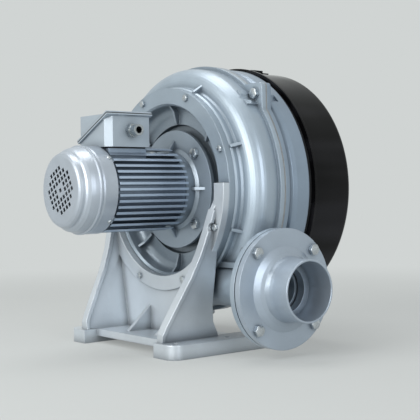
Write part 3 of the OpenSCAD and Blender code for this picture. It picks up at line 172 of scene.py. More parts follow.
class BlowerStudio(bpy.types.PropertyGroup):
    """Camera, floor and lamps."""

    azimuth: FloatProperty(
        name="Azimuth", description="Turn of the camera round the blower from its outlet side",
        subtype="ANGLE", unit="ROTATION", default=math.radians(-38.6),
    )
    elevation: FloatProperty(
        name="Elevation", description="Height angle of the camera", subtype="ANGLE", unit="ROTATION",
        default=math.radians(0.9),
    )
    roll: FloatProperty(
        name="Roll", description="Tilt of the camera about its own axis", subtype="ANGLE", unit="ROTATION",
        default=math.radians(-0.9),
    )
    camera_at: FloatVectorProperty(
        name="Camera place", description="Where the camera stands", subtype="TRANSLATION", unit="LENGTH",
        default=(-0.9490, -1.3469, 0.2518),
    )
    focal_px: FloatProperty(
        name="Focal length", description="Focal length in pixels of the image", default=982.2
    )
    floor_size: length_prop("Floor size", "Side of the floor", 30)
    fade_start: length_prop("Fade start", "Distance at which the floor starts to fade out", 0.75)
    fade_end: length_prop("Fade end", "Distance at which the floor is as pale as the backdrop", 1.9)
    key_power: power_prop("Key lamp", "Power of the lamp over the motor", 23)
    front_power: power_prop("Front lamp", "Power of the low lamp beside the camera", 20)
    side_power: power_prop("Side lamp", "Power of the lamp on the outlet side", 14)
    top_power: power_prop("Top lamp", "Power of the lamp overhead", 18)
    ambient: FloatProperty(
        name="Ambient", description="Strength of the even light", default=0.5, min=0, max=2
    )


def per_m(millimetres):
    """Noise scale for a feature of that size in Object coordinates."""
    return 1000.0 / millimetres


def fill(tree, node, settings=None, links=None):
    """Sets a node's properties, inputs and colour stops, and links its inputs to other outputs."""
    for key, value in (settings or {}).items():
        if key == "stops":
            elements = node.color_ramp.elements
            while len(elements) < len(value):
                elements.new(0.5)
            for element, (position, colour) in zip(elements, value):
                element.position = position
                element.color = colour
        elif isinstance(key, str) and hasattr(node, key):
            setattr(node, key, value)
        else:
            node.inputs[key].default_value = value
    for key, socket in (links or {}).items():
        tree.links.new(socket, node.inputs[key])


def add(tree, kind, settings=None, links=None):
    """Adds a node with its settings and links."""
    node = tree.nodes.new(kind)
    fill(tree, node, settings, links)
    return node


def blank(name):
    """A new material, its tree, its Principled shader and its Object coordinates."""
    material = bpy.data.materials.new(name)
    material.use_nodes = True
    tree = material.node_tree
    place = add(tree, "ShaderNodeTexCoord").outputs["Object"]
    return material, tree, tree.nodes["Principled BSDF"], place


def shaded(colour, factor):
    """The colour made lighter or darker by a factor, up to white."""
    return [min(1.0, c * factor) for c in colour[:3]] + [1.0]


def relief(tree, layers, edge_mm):
    """Bump from (height socket, depth in mm) layers, over edges rounded to edge_mm."""
    normal = add(tree, "ShaderNodeBevel", {"samples": 6, "Radius": edge_mm * MM}).outputs["Normal"]
    for height, depth_mm in layers:
        normal = add(
            tree, "ShaderNodeBump", {"Strength": 1.0, "Distance": depth_mm * MM},
            {"Height": height, "Normal": normal},
        ).outputs["Normal"]
    return normal


def painted_joint_shadow(tree, place, body, joint_shadow_mm):
    """The body colour with a dark line of painted shadow, the given width to each side of the terminal box's
    sloping joint, standing for the shade in the gap under the lip.
    """
    offset = add(
        tree, "ShaderNodeVectorMath", {"operation": "SUBTRACT", 1: JOINT_POINT}, {0: place}
    ).outputs["Vector"]
    height = add(
        tree, "ShaderNodeVectorMath", {"operation": "DOT_PRODUCT", 1: JOINT_NORMAL}, {0: offset}
    ).outputs["Value"]
    apart = add(tree, "ShaderNodeMath", {"operation": "ABSOLUTE"}, {0: height}).outputs[0]
    clear = add(
        tree, "ShaderNodeMapRange", {"From Min": 0.6 * joint_shadow_mm * MM, "From Max": joint_shadow_mm * MM},
        {"Value": apart},
    ).outputs["Result"]
    # Painted shadow: near-black along the joint, fading to the body colour.
    return add(
        tree, "ShaderNodeMix", {"data_type": "RGBA", MIX_A: linear("#1c2226")},
        {"Factor": clear, MIX_B: body},
    ).outputs[MIX_OUT]


def sprayed_casting(name, colour, edge_mm=1.6, rough=0.34, metallic=0.55, painted_shade_level=0.6, painted_shade_reach_mm=16, joint_shadow_mm=0):
    """Aluminium-silver enamel sprayed on a sand casting: a soft sheen, a pebbled skin,
    faint cloudy patches, and painted shade that darkens its corners and recesses. On the terminal
    box a dark line of painted shadow runs along the sloping joint."""
    material, tree, shader, place = blank(name)
    pebbles = add(
        tree, "ShaderNodeTexNoise", {"Scale": per_m(2.6), "Detail": 4.0, "Roughness": 0.62},
        {"Vector": place},
    ).outputs["Fac"]
    peel = add(
        tree, "ShaderNodeTexNoise", {"Scale": per_m(9), "Detail": 2.0}, {"Vector": place}
    ).outputs["Fac"]
    clouds = add(
        tree, "ShaderNodeTexNoise", {"Scale": per_m(70), "Detail": 3.0, "Roughness": 0.55},
        {"Vector": place},
    ).outputs["Fac"]
    flakes = add(tree, "ShaderNodeTexVoronoi", {"Scale": per_m(1.1)}, {"Vector": place}).outputs["Color"]
    flake_tone = add(tree, "ShaderNodeRGBToBW", None, {"Color": flakes}).outputs["Val"]
    glint = add(
        tree, "ShaderNodeValToRGB", {"stops": [(0.0, (0.3, 0.3, 0.3, 1)), (1.0, (0.75, 0.75, 0.75, 1))]},
        {"Fac": flake_tone},
    ).outputs["Color"]
    body = add(
        tree, "ShaderNodeValToRGB", {"stops": [(0.3, shaded(colour, 0.93)), (0.7, shaded(colour, 1.05))]},
        {"Fac": clouds},
    ).outputs["Color"]
    sparkle = add(
        tree, "ShaderNodeMix", {"data_type": "RGBA", "blend_type": "SOFT_LIGHT", "Factor": 0.10},
        {MIX_A: body, MIX_B: glint},
    ).outputs[MIX_OUT]
    # Painted shade: ambient occlusion darkens corners and recesses towards a dark blue-grey.
    corner = add(tree, "ShaderNodeAmbientOcclusion", {"samples": 6, "Distance": painted_shade_reach_mm * MM}).outputs["AO"]
    painted_corner_shade = add(
        tree, "ShaderNodeValToRGB", {"stops": [(0.3, shaded(linear("#59636c"), painted_shade_level)), (0.95, WHITE)]},
        {"Fac": corner},
    ).outputs["Color"]
    body_with_painted_shade = add(
        tree, "ShaderNodeMix", {"data_type": "RGBA", "blend_type": "MULTIPLY", "Factor": 0.7},
        {MIX_A: sparkle, MIX_B: painted_corner_shade},
    ).outputs[MIX_OUT]
    sheen = add(
        tree, "ShaderNodeMapRange", {"To Min": rough - 0.05, "To Max": rough + 0.08}, {"Value": clouds}
    ).outputs["Result"]
    fill(
        tree, shader, {"Metallic": metallic, "Coat Weight": 0.25, "Coat Roughness": 0.18},
        {
            "Base Color": painted_joint_shadow(tree, place, body_with_painted_shade, joint_shadow_mm) if joint_shadow_mm else body_with_painted_shade,
            "Roughness": sheen,
            "Normal": relief(tree, [(pebbles, 0.10), (peel, 0.10)], edge_mm),
        },
    )
    return material


def lacquered_sheet(name, colour, edge_mm=0.6, rough=0.36, metallic=0.65):
    """Silver lacquer on pressed steel sheet: smoother than the castings, with a long
    gloss, a slight orange peel, faint waves of the sheet and painted shade in its corners."""
    material, tree, shader, place = blank(name)
    peel = add(
        tree, "ShaderNodeTexNoise", {"Scale": per_m(4), "Detail": 2.0}, {"Vector": place}
    ).outputs["Fac"]
    waves = add(
        tree, "ShaderNodeTexNoise", {"Scale": per_m(38), "Detail": 2.0}, {"Vector": place}
    ).outputs["Fac"]
    tone = add(
        tree, "ShaderNodeValToRGB", {"stops": [(0.3, shaded(colour, 0.95)), (0.7, shaded(colour, 1.04))]},
        {"Fac": waves},
    ).outputs["Color"]
    # Painted shade: ambient occlusion darkens the sheet's corners.
    corner = add(tree, "ShaderNodeAmbientOcclusion", {"samples": 6, "Distance": 8 * MM}).outputs["AO"]
    painted_corner_shade = add(
        tree, "ShaderNodeValToRGB", {"stops": [(0.2, linear("#555d64")), (0.8, WHITE)]}, {"Fac": corner}
    ).outputs["Color"]
    body_with_painted_shade = add(
        tree, "ShaderNodeMix", {"data_type": "RGBA", "blend_type": "MULTIPLY", "Factor": 0.5},
        {MIX_A: tone, MIX_B: painted_corner_shade},
    ).outputs[MIX_OUT]
    gloss = add(
        tree, "ShaderNodeMapRange", {"To Min": rough - 0.04, "To Max": rough + 0.06}, {"Value": waves}
    ).outputs["Result"]
    normal = relief(tree, [(peel, 0.04), (waves, 0.25)], edge_mm)
    fill(
        tree, shader, {"Metallic": metallic, "Coat Weight": 0.25, "Coat Roughness": 0.24},
        {"Base Color": body_with_painted_shade, "Roughness": gloss, "Normal": normal},
    )
    return material


def black_gloss_enamel(name, colour, edge_mm=0.8):
    """Baked black gloss enamel on spun sheet: mirror-like with a slight orange peel, long waves of
    the sheet, dull patches of dust, and paler bands along it that stand for blurred reflections."""
    material, tree, shader, place = blank(name)
    peel = add(
        tree, "ShaderNodeTexNoise", {"Scale": per_m(3.2), "Detail": 2.0}, {"Vector": place}
    ).outputs["Fac"]
    dents = add(
        tree, "ShaderNodeTexNoise", {"Scale": per_m(85), "Detail": 1.0}, {"Vector": place}
    ).outputs["Fac"]
    veil = add(
        tree, "ShaderNodeTexNoise", {"Scale": per_m(24), "Detail": 5.0, "Roughness": 0.65}, {"Vector": place}
    ).outputs["Fac"]
    along = add(tree, "ShaderNodeMapping", {"Scale": (0.1, 1.0, 1.0)}, {"Vector": place}).outputs["Vector"]
    bands = add(
        tree, "ShaderNodeTexNoise", {"Scale": per_m(70), "Detail": 2.0}, {"Vector": along}
    ).outputs["Fac"]
    tone = add(
        tree, "ShaderNodeValToRGB", {"stops": [(0.42, colour), (0.62, shaded(colour, 8))]}, {"Fac": bands}
    ).outputs["Color"]
    gloss = add(
        tree, "ShaderNodeMapRange", {"To Min": 0.05, "To Max": 0.15}, {"Value": veil}
    ).outputs["Result"]
    normal = relief(tree, [(peel, 0.03), (dents, 2.2)], edge_mm)
    fill(
        tree, shader, {"IOR": 1.2, "Coat Weight": 0.1, "Coat Roughness": 0.05},
        {"Base Color": tone, "Roughness": gloss, "Normal": normal},
    )
    return material


def zinc_plate(name, colour, edge_mm=0.3):
    """Bright zinc plating on steel fasteners: cool metal with a cloudy passivation film
    and small dull spots."""
    material, tree, shader, place = blank(name)
    film = add(
        tree, "ShaderNodeTexNoise", {"Scale": per_m(5), "Detail": 4.0}, {"Vector": place}
    ).outputs["Fac"]
    spots = add(
        tree, "ShaderNodeTexVoronoi", {"Scale": per_m(1.6), "feature": "SMOOTH_F1"}, {"Vector": place}
    ).outputs["Distance"]
    tone = add(
        tree, "ShaderNodeValToRGB",
        {"stops": [(0.3, shaded(colour, 0.82)), (0.6, colour), (0.8, shaded(colour, 1.12))]}, {"Fac": film},
    ).outputs["Color"]
    dull = add(
        tree, "ShaderNodeMapRange", {"From Max": 0.7, "To Min": 0.42, "To Max": 0.24}, {"Value": spots}
    ).outputs["Result"]
    normal = relief(tree, [(film, 0.05), (spots, 0.03)], edge_mm)
    fill(tree, shader, {"Metallic": 1.0}, {"Base Color": tone, "Roughness": dull, "Normal": normal})
    return material


def turned_steel(name, colour, edge_mm=0.4, rough=0.3):
    """Turned or ground steel: fine tool rings round the shaft that stretch its highlights."""
    material, tree, shader, place = blank(name)
    squeeze = add(
        tree, "ShaderNodeMapping", {"Scale": (1.0, 0.04, 0.04)}, {"Vector": place}
    ).outputs["Vector"]
    rings = add(
        tree, "ShaderNodeTexNoise", {"Scale": per_m(0.7), "Detail": 3.0}, {"Vector": squeeze}
    ).outputs["Fac"]
    stain = add(
        tree, "ShaderNodeTexNoise", {"Scale": per_m(14), "Detail": 4.0}, {"Vector": place}
    ).outputs["Fac"]
    tone = add(
        tree, "ShaderNodeValToRGB", {"stops": [(0.3, shaded(colour, 0.8)), (0.7, shaded(colour, 1.08))]},
        {"Fac": stain},
    ).outputs["Color"]
    dull = add(
        tree, "ShaderNodeMapRange", {"To Min": rough - 0.08, "To Max": rough + 0.1}, {"Value": rings}
    ).outputs["Result"]
    normal = relief(tree, [(rings, 0.015)], edge_mm)
    fill(tree, shader, {"Metallic": 1.0}, {"Base Color": tone, "Roughness": dull, "Normal": normal})
    return material


def bare_casting(name, colour, edge_mm=0.6):
    """Unpainted die-cast aluminium: dull pale metal with flow clouds and a fine pitted skin."""
    material, tree, shader, place = blank(name)
    skin = add(
        tree, "ShaderNodeTexNoise", {"Scale": per_m(1.2), "Detail": 4.0}, {"Vector": place}
    ).outputs["Fac"]
    flow = add(
        tree, "ShaderNodeTexNoise", {"Scale": per_m(22), "Detail": 4.0, "Distortion": 1.2}, {"Vector": place}
    ).outputs["Fac"]
    tone = add(
        tree, "ShaderNodeValToRGB", {"stops": [(0.3, shaded(colour, 0.78)), (0.7, shaded(colour, 1.05))]},
        {"Fac": flow},
    ).outputs["Color"]
    dull = add(
        tree, "ShaderNodeMapRange", {"To Min": 0.36, "To Max": 0.56}, {"Value": flow}
    ).outputs["Result"]
    normal = relief(tree, [(skin, 0.06)], edge_mm)
    fill(tree, shader, {"Metallic": 0.9}, {"Base Color": tone, "Roughness": dull, "Normal": normal})
    return material


def moulded(name, colour, rough=0.55, edge_mm=0.4, grain_mm=0.9, depth_mm=0.05):
    """Moulded rubber, fibre or plastic: matt, with a fine grain left by the mould and grey bloom."""
    material, tree, shader, place = blank(name)
    grain = add(
        tree, "ShaderNodeTexNoise", {"Scale": per_m(grain_mm), "Detail": 4.0}, {"Vector": place}
    ).outputs["Fac"]
    bloom = add(
        tree, "ShaderNodeTexNoise", {"Scale": per_m(17), "Detail": 4.0}, {"Vector": place}
    ).outputs["Fac"]
    tone = add(
        tree, "ShaderNodeValToRGB", {"stops": [(0.35, shaded(colour, 0.85)), (0.75, shaded(colour, 1.5))]},
        {"Fac": bloom},
    ).outputs["Color"]
    dull = add(
        tree, "ShaderNodeMapRange", {"To Min": rough - 0.08, "To Max": rough + 0.12}, {"Value": bloom}
    ).outputs["Result"]
    normal = relief(tree, [(grain, depth_mm)], edge_mm)
    fill(tree, shader, {"IOR": 1.5}, {"Base Color": tone, "Roughness": dull, "Normal": normal})
    return material


def open_foam(name, colour):
    """Open-cell polyurethane foam: pores painted dark as shade between thin walls, fully matt."""
    material, tree, shader, place = blank(name)
    cells = add(
        tree, "ShaderNodeTexVoronoi", {"Scale": per_m(2.4), "feature": "SMOOTH_F1", "Smoothness": 0.3},
        {"Vector": place},
    ).outputs["Distance"]
    # Painted shade: the pores' centres are darkened to stand for the shade inside them.
    tone = add(
        tree, "ShaderNodeValToRGB", {"stops": [(0.15, shaded(colour, 0.15)), (0.55, colour)]}, {"Fac": cells}
    ).outputs["Color"]
    normal = relief(tree, [(cells, 1.2)], 1.5)
    fill(tree, shader, {"Roughness": 0.95, "Sheen Weight": 0.3}, {"Base Color": tone, "Normal": normal})
    return material


def laminated_steel(name, colour):
    """Stack of punched electrical sheet: fine blue-grey edges, one sheet every 0.65 mm,
    drawn at 0.83 mm so that it shows."""
    material, tree, shader, place = blank(name)
    sheets = add(
        tree, "ShaderNodeTexWave", {"bands_direction": "X", "Scale": per_m(0.828) * WAVE_STEP},
        {"Vector": place},
    ).outputs["Fac"]
    tone = add(
        tree, "ShaderNodeValToRGB", {"stops": [(0.2, shaded(colour, 0.4)), (0.6, colour)]}, {"Fac": sheets}
    ).outputs["Color"]
    normal = relief(tree, [(sheets, 0.1)], 0.3)
    fill(tree, shader, {"Metallic": 0.8, "Roughness": 0.5}, {"Base Color": tone, "Normal": normal})
    return material


def wound_copper(name, colour):
    """Enamelled copper wire, wound and varnished: glossy amber strands, each 0.8 mm thick,
    drawn 1.6 mm apart so that they show, with painted shade darkening the grooves between them."""
    material, tree, shader, place = blank(name)
    strands = add(
        tree, "ShaderNodeTexWave",
        {
            "bands_direction": "DIAGONAL", "Scale": per_m(1.596) * DIAGONAL_STEP,
            "Distortion": 1.5, "Detail": 2.0,
        },
        {"Vector": place},
    ).outputs["Fac"]
    # Painted shade: the grooves between strands are darkened.
    tone = add(
        tree, "ShaderNodeValToRGB", {"stops": [(0.1, shaded(colour, 0.3)), (0.6, colour)]}, {"Fac": strands}
    ).outputs["Color"]
    normal = relief(tree, [(strands, 0.5)], 0.6)
    fill(
        tree, shader, {"Metallic": 0.6, "Roughness": 0.28, "Coat Weight": 0.6},
        {"Base Color": tone, "Normal": normal},
    )
    return material


def finish_of(wanted, colours):
    """Every finish by its record slot, made once."""
    made = {}
    # The options below set how dark the painted corner shade goes and how far it reaches, and how wide the
    # painted joint shadow on the terminal box is.
    enamels = {
        "stand_paint": ("stand_silver_enamel", colours.stand, {"edge_mm": 2.2, "painted_shade_level": 0.4}),
        "cover_paint": (
            "cover_silver_enamel", colours.cover, {"edge_mm": 1.8, "painted_shade_level": 0.2, "painted_shade_reach_mm": 70}
        ),
        "casing_paint": ("casing_silver_enamel", colours.casing, {"edge_mm": 1.8, "rough": 0.38}),
        "rear_paint": ("rear_casing_silver_enamel", colours.rear, {"edge_mm": 1.6, "rough": 0.3}),
        "pipe_paint": ("outlet_silver_enamel", colours.pipe, {"edge_mm": 1.4}),
        "motor_paint": ("motor_blue_grey_enamel", colours.motor, {"edge_mm": 0.7, "painted_shade_level": 0.75}),
        "shield_paint": ("motor_flange_silver_enamel", colours.shield, {"edge_mm": 1.2}),
        "rear_shield_paint": ("rear_shield_silver_enamel", colours.shield, {"edge_mm": 1.0}),
        "box_paint": (
            "terminal_box_grey_enamel", colours.box, {"edge_mm": 0.8, "metallic": 0.35, "joint_shadow_mm": 1.1}
        ),
        "box_cover_paint": (
            "terminal_cover_grey_enamel", colours.box, {"edge_mm": 1.0, "metallic": 0.35, "joint_shadow_mm": 1.1}
        ),
    }
    for slot, (name, colour, options) in enamels.items():
        made[slot] = sprayed_casting(name, list(colour), **options)
    made["fan_cover_paint"] = lacquered_sheet("fan_cover_silver_lacquer", list(colours.fan_cover))
    for slot, name in (("drum_black", "drum_black_enamel"), ("bracket_black", "bracket_black_enamel")):
        made[slot] = black_gloss_enamel(name, list(colours.drum))
    for slot in ("drum_screw_black", "bracket_screw_black"):
        made[slot] = zinc_plate(slot + "_zinc", shaded(colours.drum, 6))
    made["liner_foam"] = open_foam("liner_open_foam", linear("#3a3c3f"))
    for slot in ("spacer_rubber", "seal_rubber", "box_gasket_rubber"):
        made[slot] = moulded(slot + "_nitrile", list(colours.rubber), rough=0.6)
    made["gasket_fibre"] = moulded(
        "outlet_gasket_fibre", linear("#2a2f36"), rough=0.8, grain_mm=1.8, depth_mm=0.12
    )
    made["fan_plastic"] = moulded("fan_polypropylene", linear("#2a2d30"), rough=0.42)
    made["block_plastic"] = moulded("terminal_block_phenolic", linear("#5b3a22"), rough=0.4)
    made["stud_brass"] = turned_steel("stud_brass", linear("#c3a050"), rough=0.28)
    for slot in ("gland_alloy", "gland_nut_alloy"):
        made[slot] = turned_steel(slot + "_nickel", linear("#b3b9bc"), rough=0.26)
    for slot in ("vane_aluminium", "ring_aluminium", "impeller_aluminium", "rear_impeller_aluminium"):
        made[slot] = bare_casting(slot + "_cast", list(colours.aluminium))
    for slot in ("core_steel", "stator_steel"):
        made[slot] = laminated_steel(slot + "_laminations", linear("#7d868d"))
    made["winding_enamel"] = wound_copper("winding_enamelled_copper", linear("#b4682c"))
    for slot in wanted:
        if slot in made:
            continue
        if "zinc" in slot or slot == "guard_wire":
            made[slot] = zinc_plate(slot + "_plate", list(colours.zinc))
        else:
            made[slot] = turned_steel(slot + "_turned", list(colours.steel))
    return made


def dress(obj, material):
    """Leaves the object with this one material."""
    obj.data.materials.clear()
    obj.data.materials.append(material)


def drop_selection():
    """Leaves edit mode and selects nothing."""
    if bpy.context.object and bpy.context.object.mode != "OBJECT":
        bpy.ops.object.mode_set(mode="OBJECT")
    bpy.ops.object.select_all(action="DESELECT")


def solids_of(node):
    """Points of each separate solid of a CAD node, as arrays."""
    mesh = bmesh.new()
    mesh.from_mesh(frame["nodes"][node].data)
    bmesh.ops.remove_doubles(mesh, verts=mesh.verts, dist=WELD)
    mesh.verts.ensure_lookup_table()
    seen, solids = set(), []
    for start in mesh.verts:
        if start.index in seen:
            continue
        group, queue = [], [start]
        seen.add(start.index)
        while queue:
            vert = queue.pop()
            group.append(vert.co.copy())
            for edge in vert.link_edges:
                other = edge.other_vert(vert)
                if other.index not in seen:
                    seen.add(other.index)
                    queue.append(other)
        solids.append(np.array(group))
    mesh.free()
    return solids


class Fastener:
    """Where one bolt, screw or nut of the frame sits, measured from its solid."""

    def __init__(self, points, axis):
        axis = Vector(axis).normalized()
        spots = [Vector(p) for p in points]
        along = np.array([p.dot(axis) for p in spots])
        self.centre = self.middle(spots, axis)
        radial = [p - self.centre - axis * (p - self.centre).dot(axis) for p in spots]
        reach = np.array([v.length for v in radial])
        wide = reach > HEAD_SHARE * reach.max()
        self.radius = float(reach.max())
        narrow = reach[reach < SHANK_SHARE * self.radius]
        self.corner = radial[int(reach.argmax())].normalized()
        self.head_low, self.head_high = float(along[wide].min()), float(along[wide].max())
        self.low, self.high = float(along.min()), float(along.max())
        self.shank = float(narrow.max()) if narrow.size else 0.0
        self.axis = axis
        if self.high - self.head_high > self.head_low - self.low + LEVEL_GAP / 2:
            self.axis = -axis
            self.head_low, self.head_high = -self.head_high, -self.head_low
            self.low, self.high = -self.high, -self.low
        self.length = round(self.head_low - self.low, 5)

    @staticmethod
    def middle(spots, axis):
        """Centre of the solid's outline seen along its axis."""
        side = axis.orthogonal().normalized()
        up = axis.cross(side)
        u = [p.dot(side) for p in spots]
        v = [p.dot(up) for p in spots]
        return side * (min(u) + max(u)) / 2 + up * (min(v) + max(v)) / 2

    def place(self):
        """Matrix that puts a fastener drawn on +Z, seated at zero, where this one sits."""
        across = self.axis.cross(self.corner)
        turn = Matrix((self.corner, across, self.axis)).transposed().to_4x4()
        return Matrix.Translation(self.centre + self.axis * self.head_low) @ turn


def merge_into(name, parts):
    """Joins finished parts into one named piece whose object sits at the origin."""
    drop_selection()
    for part in parts:
        part.select_set(True)
    bpy.context.view_layer.objects.active = parts[0]
    if len(parts) > 1:
        bpy.ops.object.join()
    piece = bpy.context.view_layer.objects.active
    piece.name = piece.data.name = name
    bpy.ops.object.transform_apply(location=True, rotation=True, scale=True)
    return piece


def settled():
    """The primitive that was just added, with its place and turn in its mesh."""
    bpy.ops.object.transform_apply(location=True, rotation=True, scale=True)
    return bpy.context.object


def cut(target, tool, operation):
    """Applies a boolean of the tool to the target and deletes the tool."""
    modifier = target.modifiers.new("cut", "BOOLEAN")
    modifier.operation = operation
    modifier.solver = "EXACT"
    modifier.object = tool
    drop_selection()
    bpy.context.view_layer.objects.active = target
    target.select_set(True)
    bpy.ops.object.modifier_apply(modifier=modifier.name)
    bpy.data.objects.remove(tool)


def pick(obj, want, kind="FACE"):
    """Enters edit mode with only the faces, or edges, that want() accepts selected."""
    drop_selection()
    bpy.context.view_layer.objects.active = obj
    obj.select_set(True)
    bpy.ops.object.mode_set(mode="EDIT")
    bpy.ops.mesh.select_mode(type=kind)
    bpy.ops.mesh.select_all(action="DESELECT")
    mesh = bmesh.from_edit_mesh(obj.data)
    for item in mesh.faces if kind == "FACE" else mesh.edges:
        if want(item):
            item.select_set(True)
    bmesh.update_edit_mesh(obj.data)


def rim_at(height):
    """Test for edges that lie level at a height."""
    return lambda edge: all(abs(v.co.z - height) < LEVEL_GAP for v in edge.verts)


def hexagon_head(radius, height, sizes):
    """Hexagon head on +Z: a prism whose corners are turned off at 30 degrees, with a broken lower edge."""
    tall = height + CLEAR
    drop_selection()
    bpy.ops.mesh.primitive_cylinder_add(
        vertices=6, radius=radius, depth=tall, location=(0, 0, tall / 2), rotation=(0, 0, -math.pi / 6)
    )
    head = settled()
    face = radius * math.cos(math.pi / 6) * sizes.head_face
    drop_selection()
    bpy.ops.mesh.primitive_cone_add(
        vertices=64, radius1=face + tall * math.tan(math.radians(60)), radius2=face, depth=tall,
        location=(0, 0, (height - CLEAR) / 2),
    )
    cut(head, settled(), "INTERSECT")
    pick(head, rim_at(0), "EDGE")
    bpy.ops.mesh.bevel(offset=sizes.head_edge, segments=2, affect="EDGES")
    bpy.ops.object.mode_set(mode="OBJECT")
    return head


def threaded_shank(radius, length, sizes):
    """Shank on -Z from the seat to its chamfered tip, with thread ridges along its free end."""
    pitch = sizes.thread_pitch * (1 if radius > SMALL_SHANK else SMALL_PITCH)
    turns = int(min(length, THREAD_RUN) / pitch)
    level = turns * pitch + sizes.tip_chamfer - length
    drop_selection()
    bpy.ops.mesh.primitive_circle_add(vertices=24, radius=radius, location=(0, 0, 0))
    shank = settled()
    bpy.ops.object.mode_set(mode="EDIT")
    bpy.ops.mesh.select_all(action="SELECT")
    bpy.ops.mesh.extrude_region_move(TRANSFORM_OT_translate={"value": (0, 0, level)})
    root = (radius - THREAD_DEPTH * pitch) / radius
    for step in range(2 * turns):
        bpy.ops.mesh.extrude_region_move(TRANSFORM_OT_translate={"value": (0, 0, -pitch / 2)})
        level -= pitch / 2
        scale = root if step % 2 == 0 else 1 / root
        bpy.ops.transform.resize(value=(scale, scale, 1), center_override=(0, 0, level))
    bpy.ops.mesh.extrude_region_move(TRANSFORM_OT_translate={"value": (0, 0, -sizes.tip_chamfer)})
    scale = (radius - sizes.tip_chamfer) / radius
    bpy.ops.transform.resize(value=(scale, scale, 1), center_override=(0, 0, level))
    bpy.ops.mesh.edge_face_add()
    bpy.ops.object.mode_set(mode="OBJECT")
    pick(shank, rim_at(0), "EDGE")
    bpy.ops.mesh.edge_face_add()
    bpy.ops.mesh.select_all(action="SELECT")
    bpy.ops.mesh.normals_make_consistent(inside=False)
    bpy.ops.object.mode_set(mode="OBJECT")
    return shank


def cross_recess_head(radius, height, sizes):
    """Pan head on +Z with a rounded rim and a cross recess that narrows as it goes down."""
    rounding = min(0.5 * radius, 0.7 * height)
    arm_length, taper = 1.15 * radius, 0.55
    drop_selection()
    bpy.ops.mesh.primitive_cylinder_add(vertices=32, radius=radius, depth=height, location=(0, 0, height / 2))
    head = settled()
    pick(head, rim_at(height), "EDGE")
    bpy.ops.mesh.bevel(offset=rounding, segments=5, affect="EDGES")
    bpy.ops.object.mode_set(mode="OBJECT")
    for turn in (0, math.pi / 2):
        drop_selection()
        bpy.ops.mesh.primitive_cube_add(
            size=1, location=(0, 0, height), rotation=(0, 0, turn),
            scale=(arm_length, sizes.recess_width, 2 * sizes.recess_depth),
        )
        arm = settled()
        pick(arm, lambda face: face.normal.z < -0.9)
        floor = (0, 0, height - sizes.recess_depth)
        bpy.ops.transform.resize(value=(taper, taper, 1), center_override=floor)
        bpy.ops.object.mode_set(mode="OBJECT")
        cut(head, arm, "DIFFERENCE")
    return head


def bored_nut(radius, height, bore, sizes):
    """Hexagon nut on +Z with a countersunk bore."""
    nut = hexagon_head(radius, height, sizes)
    drop_selection()
    bpy.ops.mesh.primitive_cylinder_add(vertices=32, radius=bore, depth=4 * height, location=(0, 0, 0))
    cut(nut, settled(), "DIFFERENCE")
    pick(nut, lambda edge: rim_at(height)(edge) and edge.verts[0].co.xy.length < bore * 1.01, "EDGE")
    bpy.ops.mesh.bevel(offset=sizes.tip_chamfer, segments=1, affect="EDGES")
    bpy.ops.object.mode_set(mode="OBJECT")
    return nut


def copies_on(master, places):
    """A copy of the master on each place, each with its own mesh; the master goes."""
    made = []
    for place in places:
        copy = master.copy()
        copy.data = master.data.copy()
        bpy.context.scene.collection.objects.link(copy)
        copy.matrix_world = place
        made.append(copy)
    bpy.data.objects.remove(master)
    return made


def smooth(piece, degrees=32):
    """Shades a piece smooth, apart from edges sharper than the angle."""
    drop_selection()
    bpy.context.view_layer.objects.active = piece
    piece.select_set(True)
    bpy.ops.object.shade_smooth_by_angle(angle=math.radians(degrees))


def shaft_height():
    """Height of the shaft's centre line above the floor."""
    low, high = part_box("rotor_shaft")
    return (low[2] + high[2]) / 2


def outward_from_shaft(points):
    """Direction from the shaft line to a solid's middle."""
    middle = (points.min(0) + points.max(0)) / 2
    return Vector((0, middle[1], middle[2] - shaft_height())).normalized()


def own_length(points):
    """Direction along a screw, from its own spread, turned upwards."""
    spread = np.linalg.svd(points - points.mean(0), full_matrices=False)[2][0]
    return Vector(spread if spread[2] > 0 else -spread)


def fastened(name, node, axis, style):
    """Replaces the plain fasteners of a node by modelled bolts, screws or nuts in their places."""
    sizes = bpy.context.scene.blower_sizes
    found = [Fastener(p, axis(p) if callable(axis) else axis) for p in solids_of(node)]
    made = []
    for length in sorted({f.length for f in found}):
        like = [f for f in found if f.length == length]
        radius, height, shank = like[0].radius, like[0].head_high - like[0].head_low, like[0].shank
        if style == "nut":
            master = bored_nut(radius, height, shank, sizes)
        else:
            draw_head = hexagon_head if style == "bolt" else cross_recess_head
            head = draw_head(radius, height, sizes)
            master = merge_into(name, [head, threaded_shank(shank, length, sizes)])
        made += copies_on(master, [f.place() for f in like])
    finished(merge_into(name, made), node)


def finished(piece, node):
    """Gives a new piece the finish of the node that it stands for, shades it smooth, puts it on the housing
    body and hides the node.
    """
    slot = slots[node]
    dress(piece, finishes[slot])
    smooth(piece)
    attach(piece, "housing")
    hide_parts(node)


class BLOWER_OT_finishes(bpy.types.Operator):
    """Gives every carried-over node its finish"""

    bl_idname = "blower.finishes"
    bl_label = "Finishes"

    def execute(self, context):
        finishes.update(finish_of(sorted(set(slots.values())), context.scene.blower_colours))
        for node, slot in slots.items():
            dress(frame["nodes"][node], finishes[slot])
        return {"FINISHED"}


class BLOWER_OT_casing_bolts(bpy.types.Operator):
    """Hexagon bolts of the front cover ring, the motor flange and the intake drum"""

    bl_idname = "blower.casing_bolts"
    bl_label = "Casing Bolts"

    def execute(self, context):
        fastened("cover_ring_hex_bolts", "cover_ring_bolts", X_AXIS, "bolt")
        fastened("motor_flange_hex_bolts", "motor_flange_bolts", X_AXIS, "bolt")
        fastened("drum_hex_screws", "drum_screws", X_AXIS, "bolt")
        return {"FINISHED"}


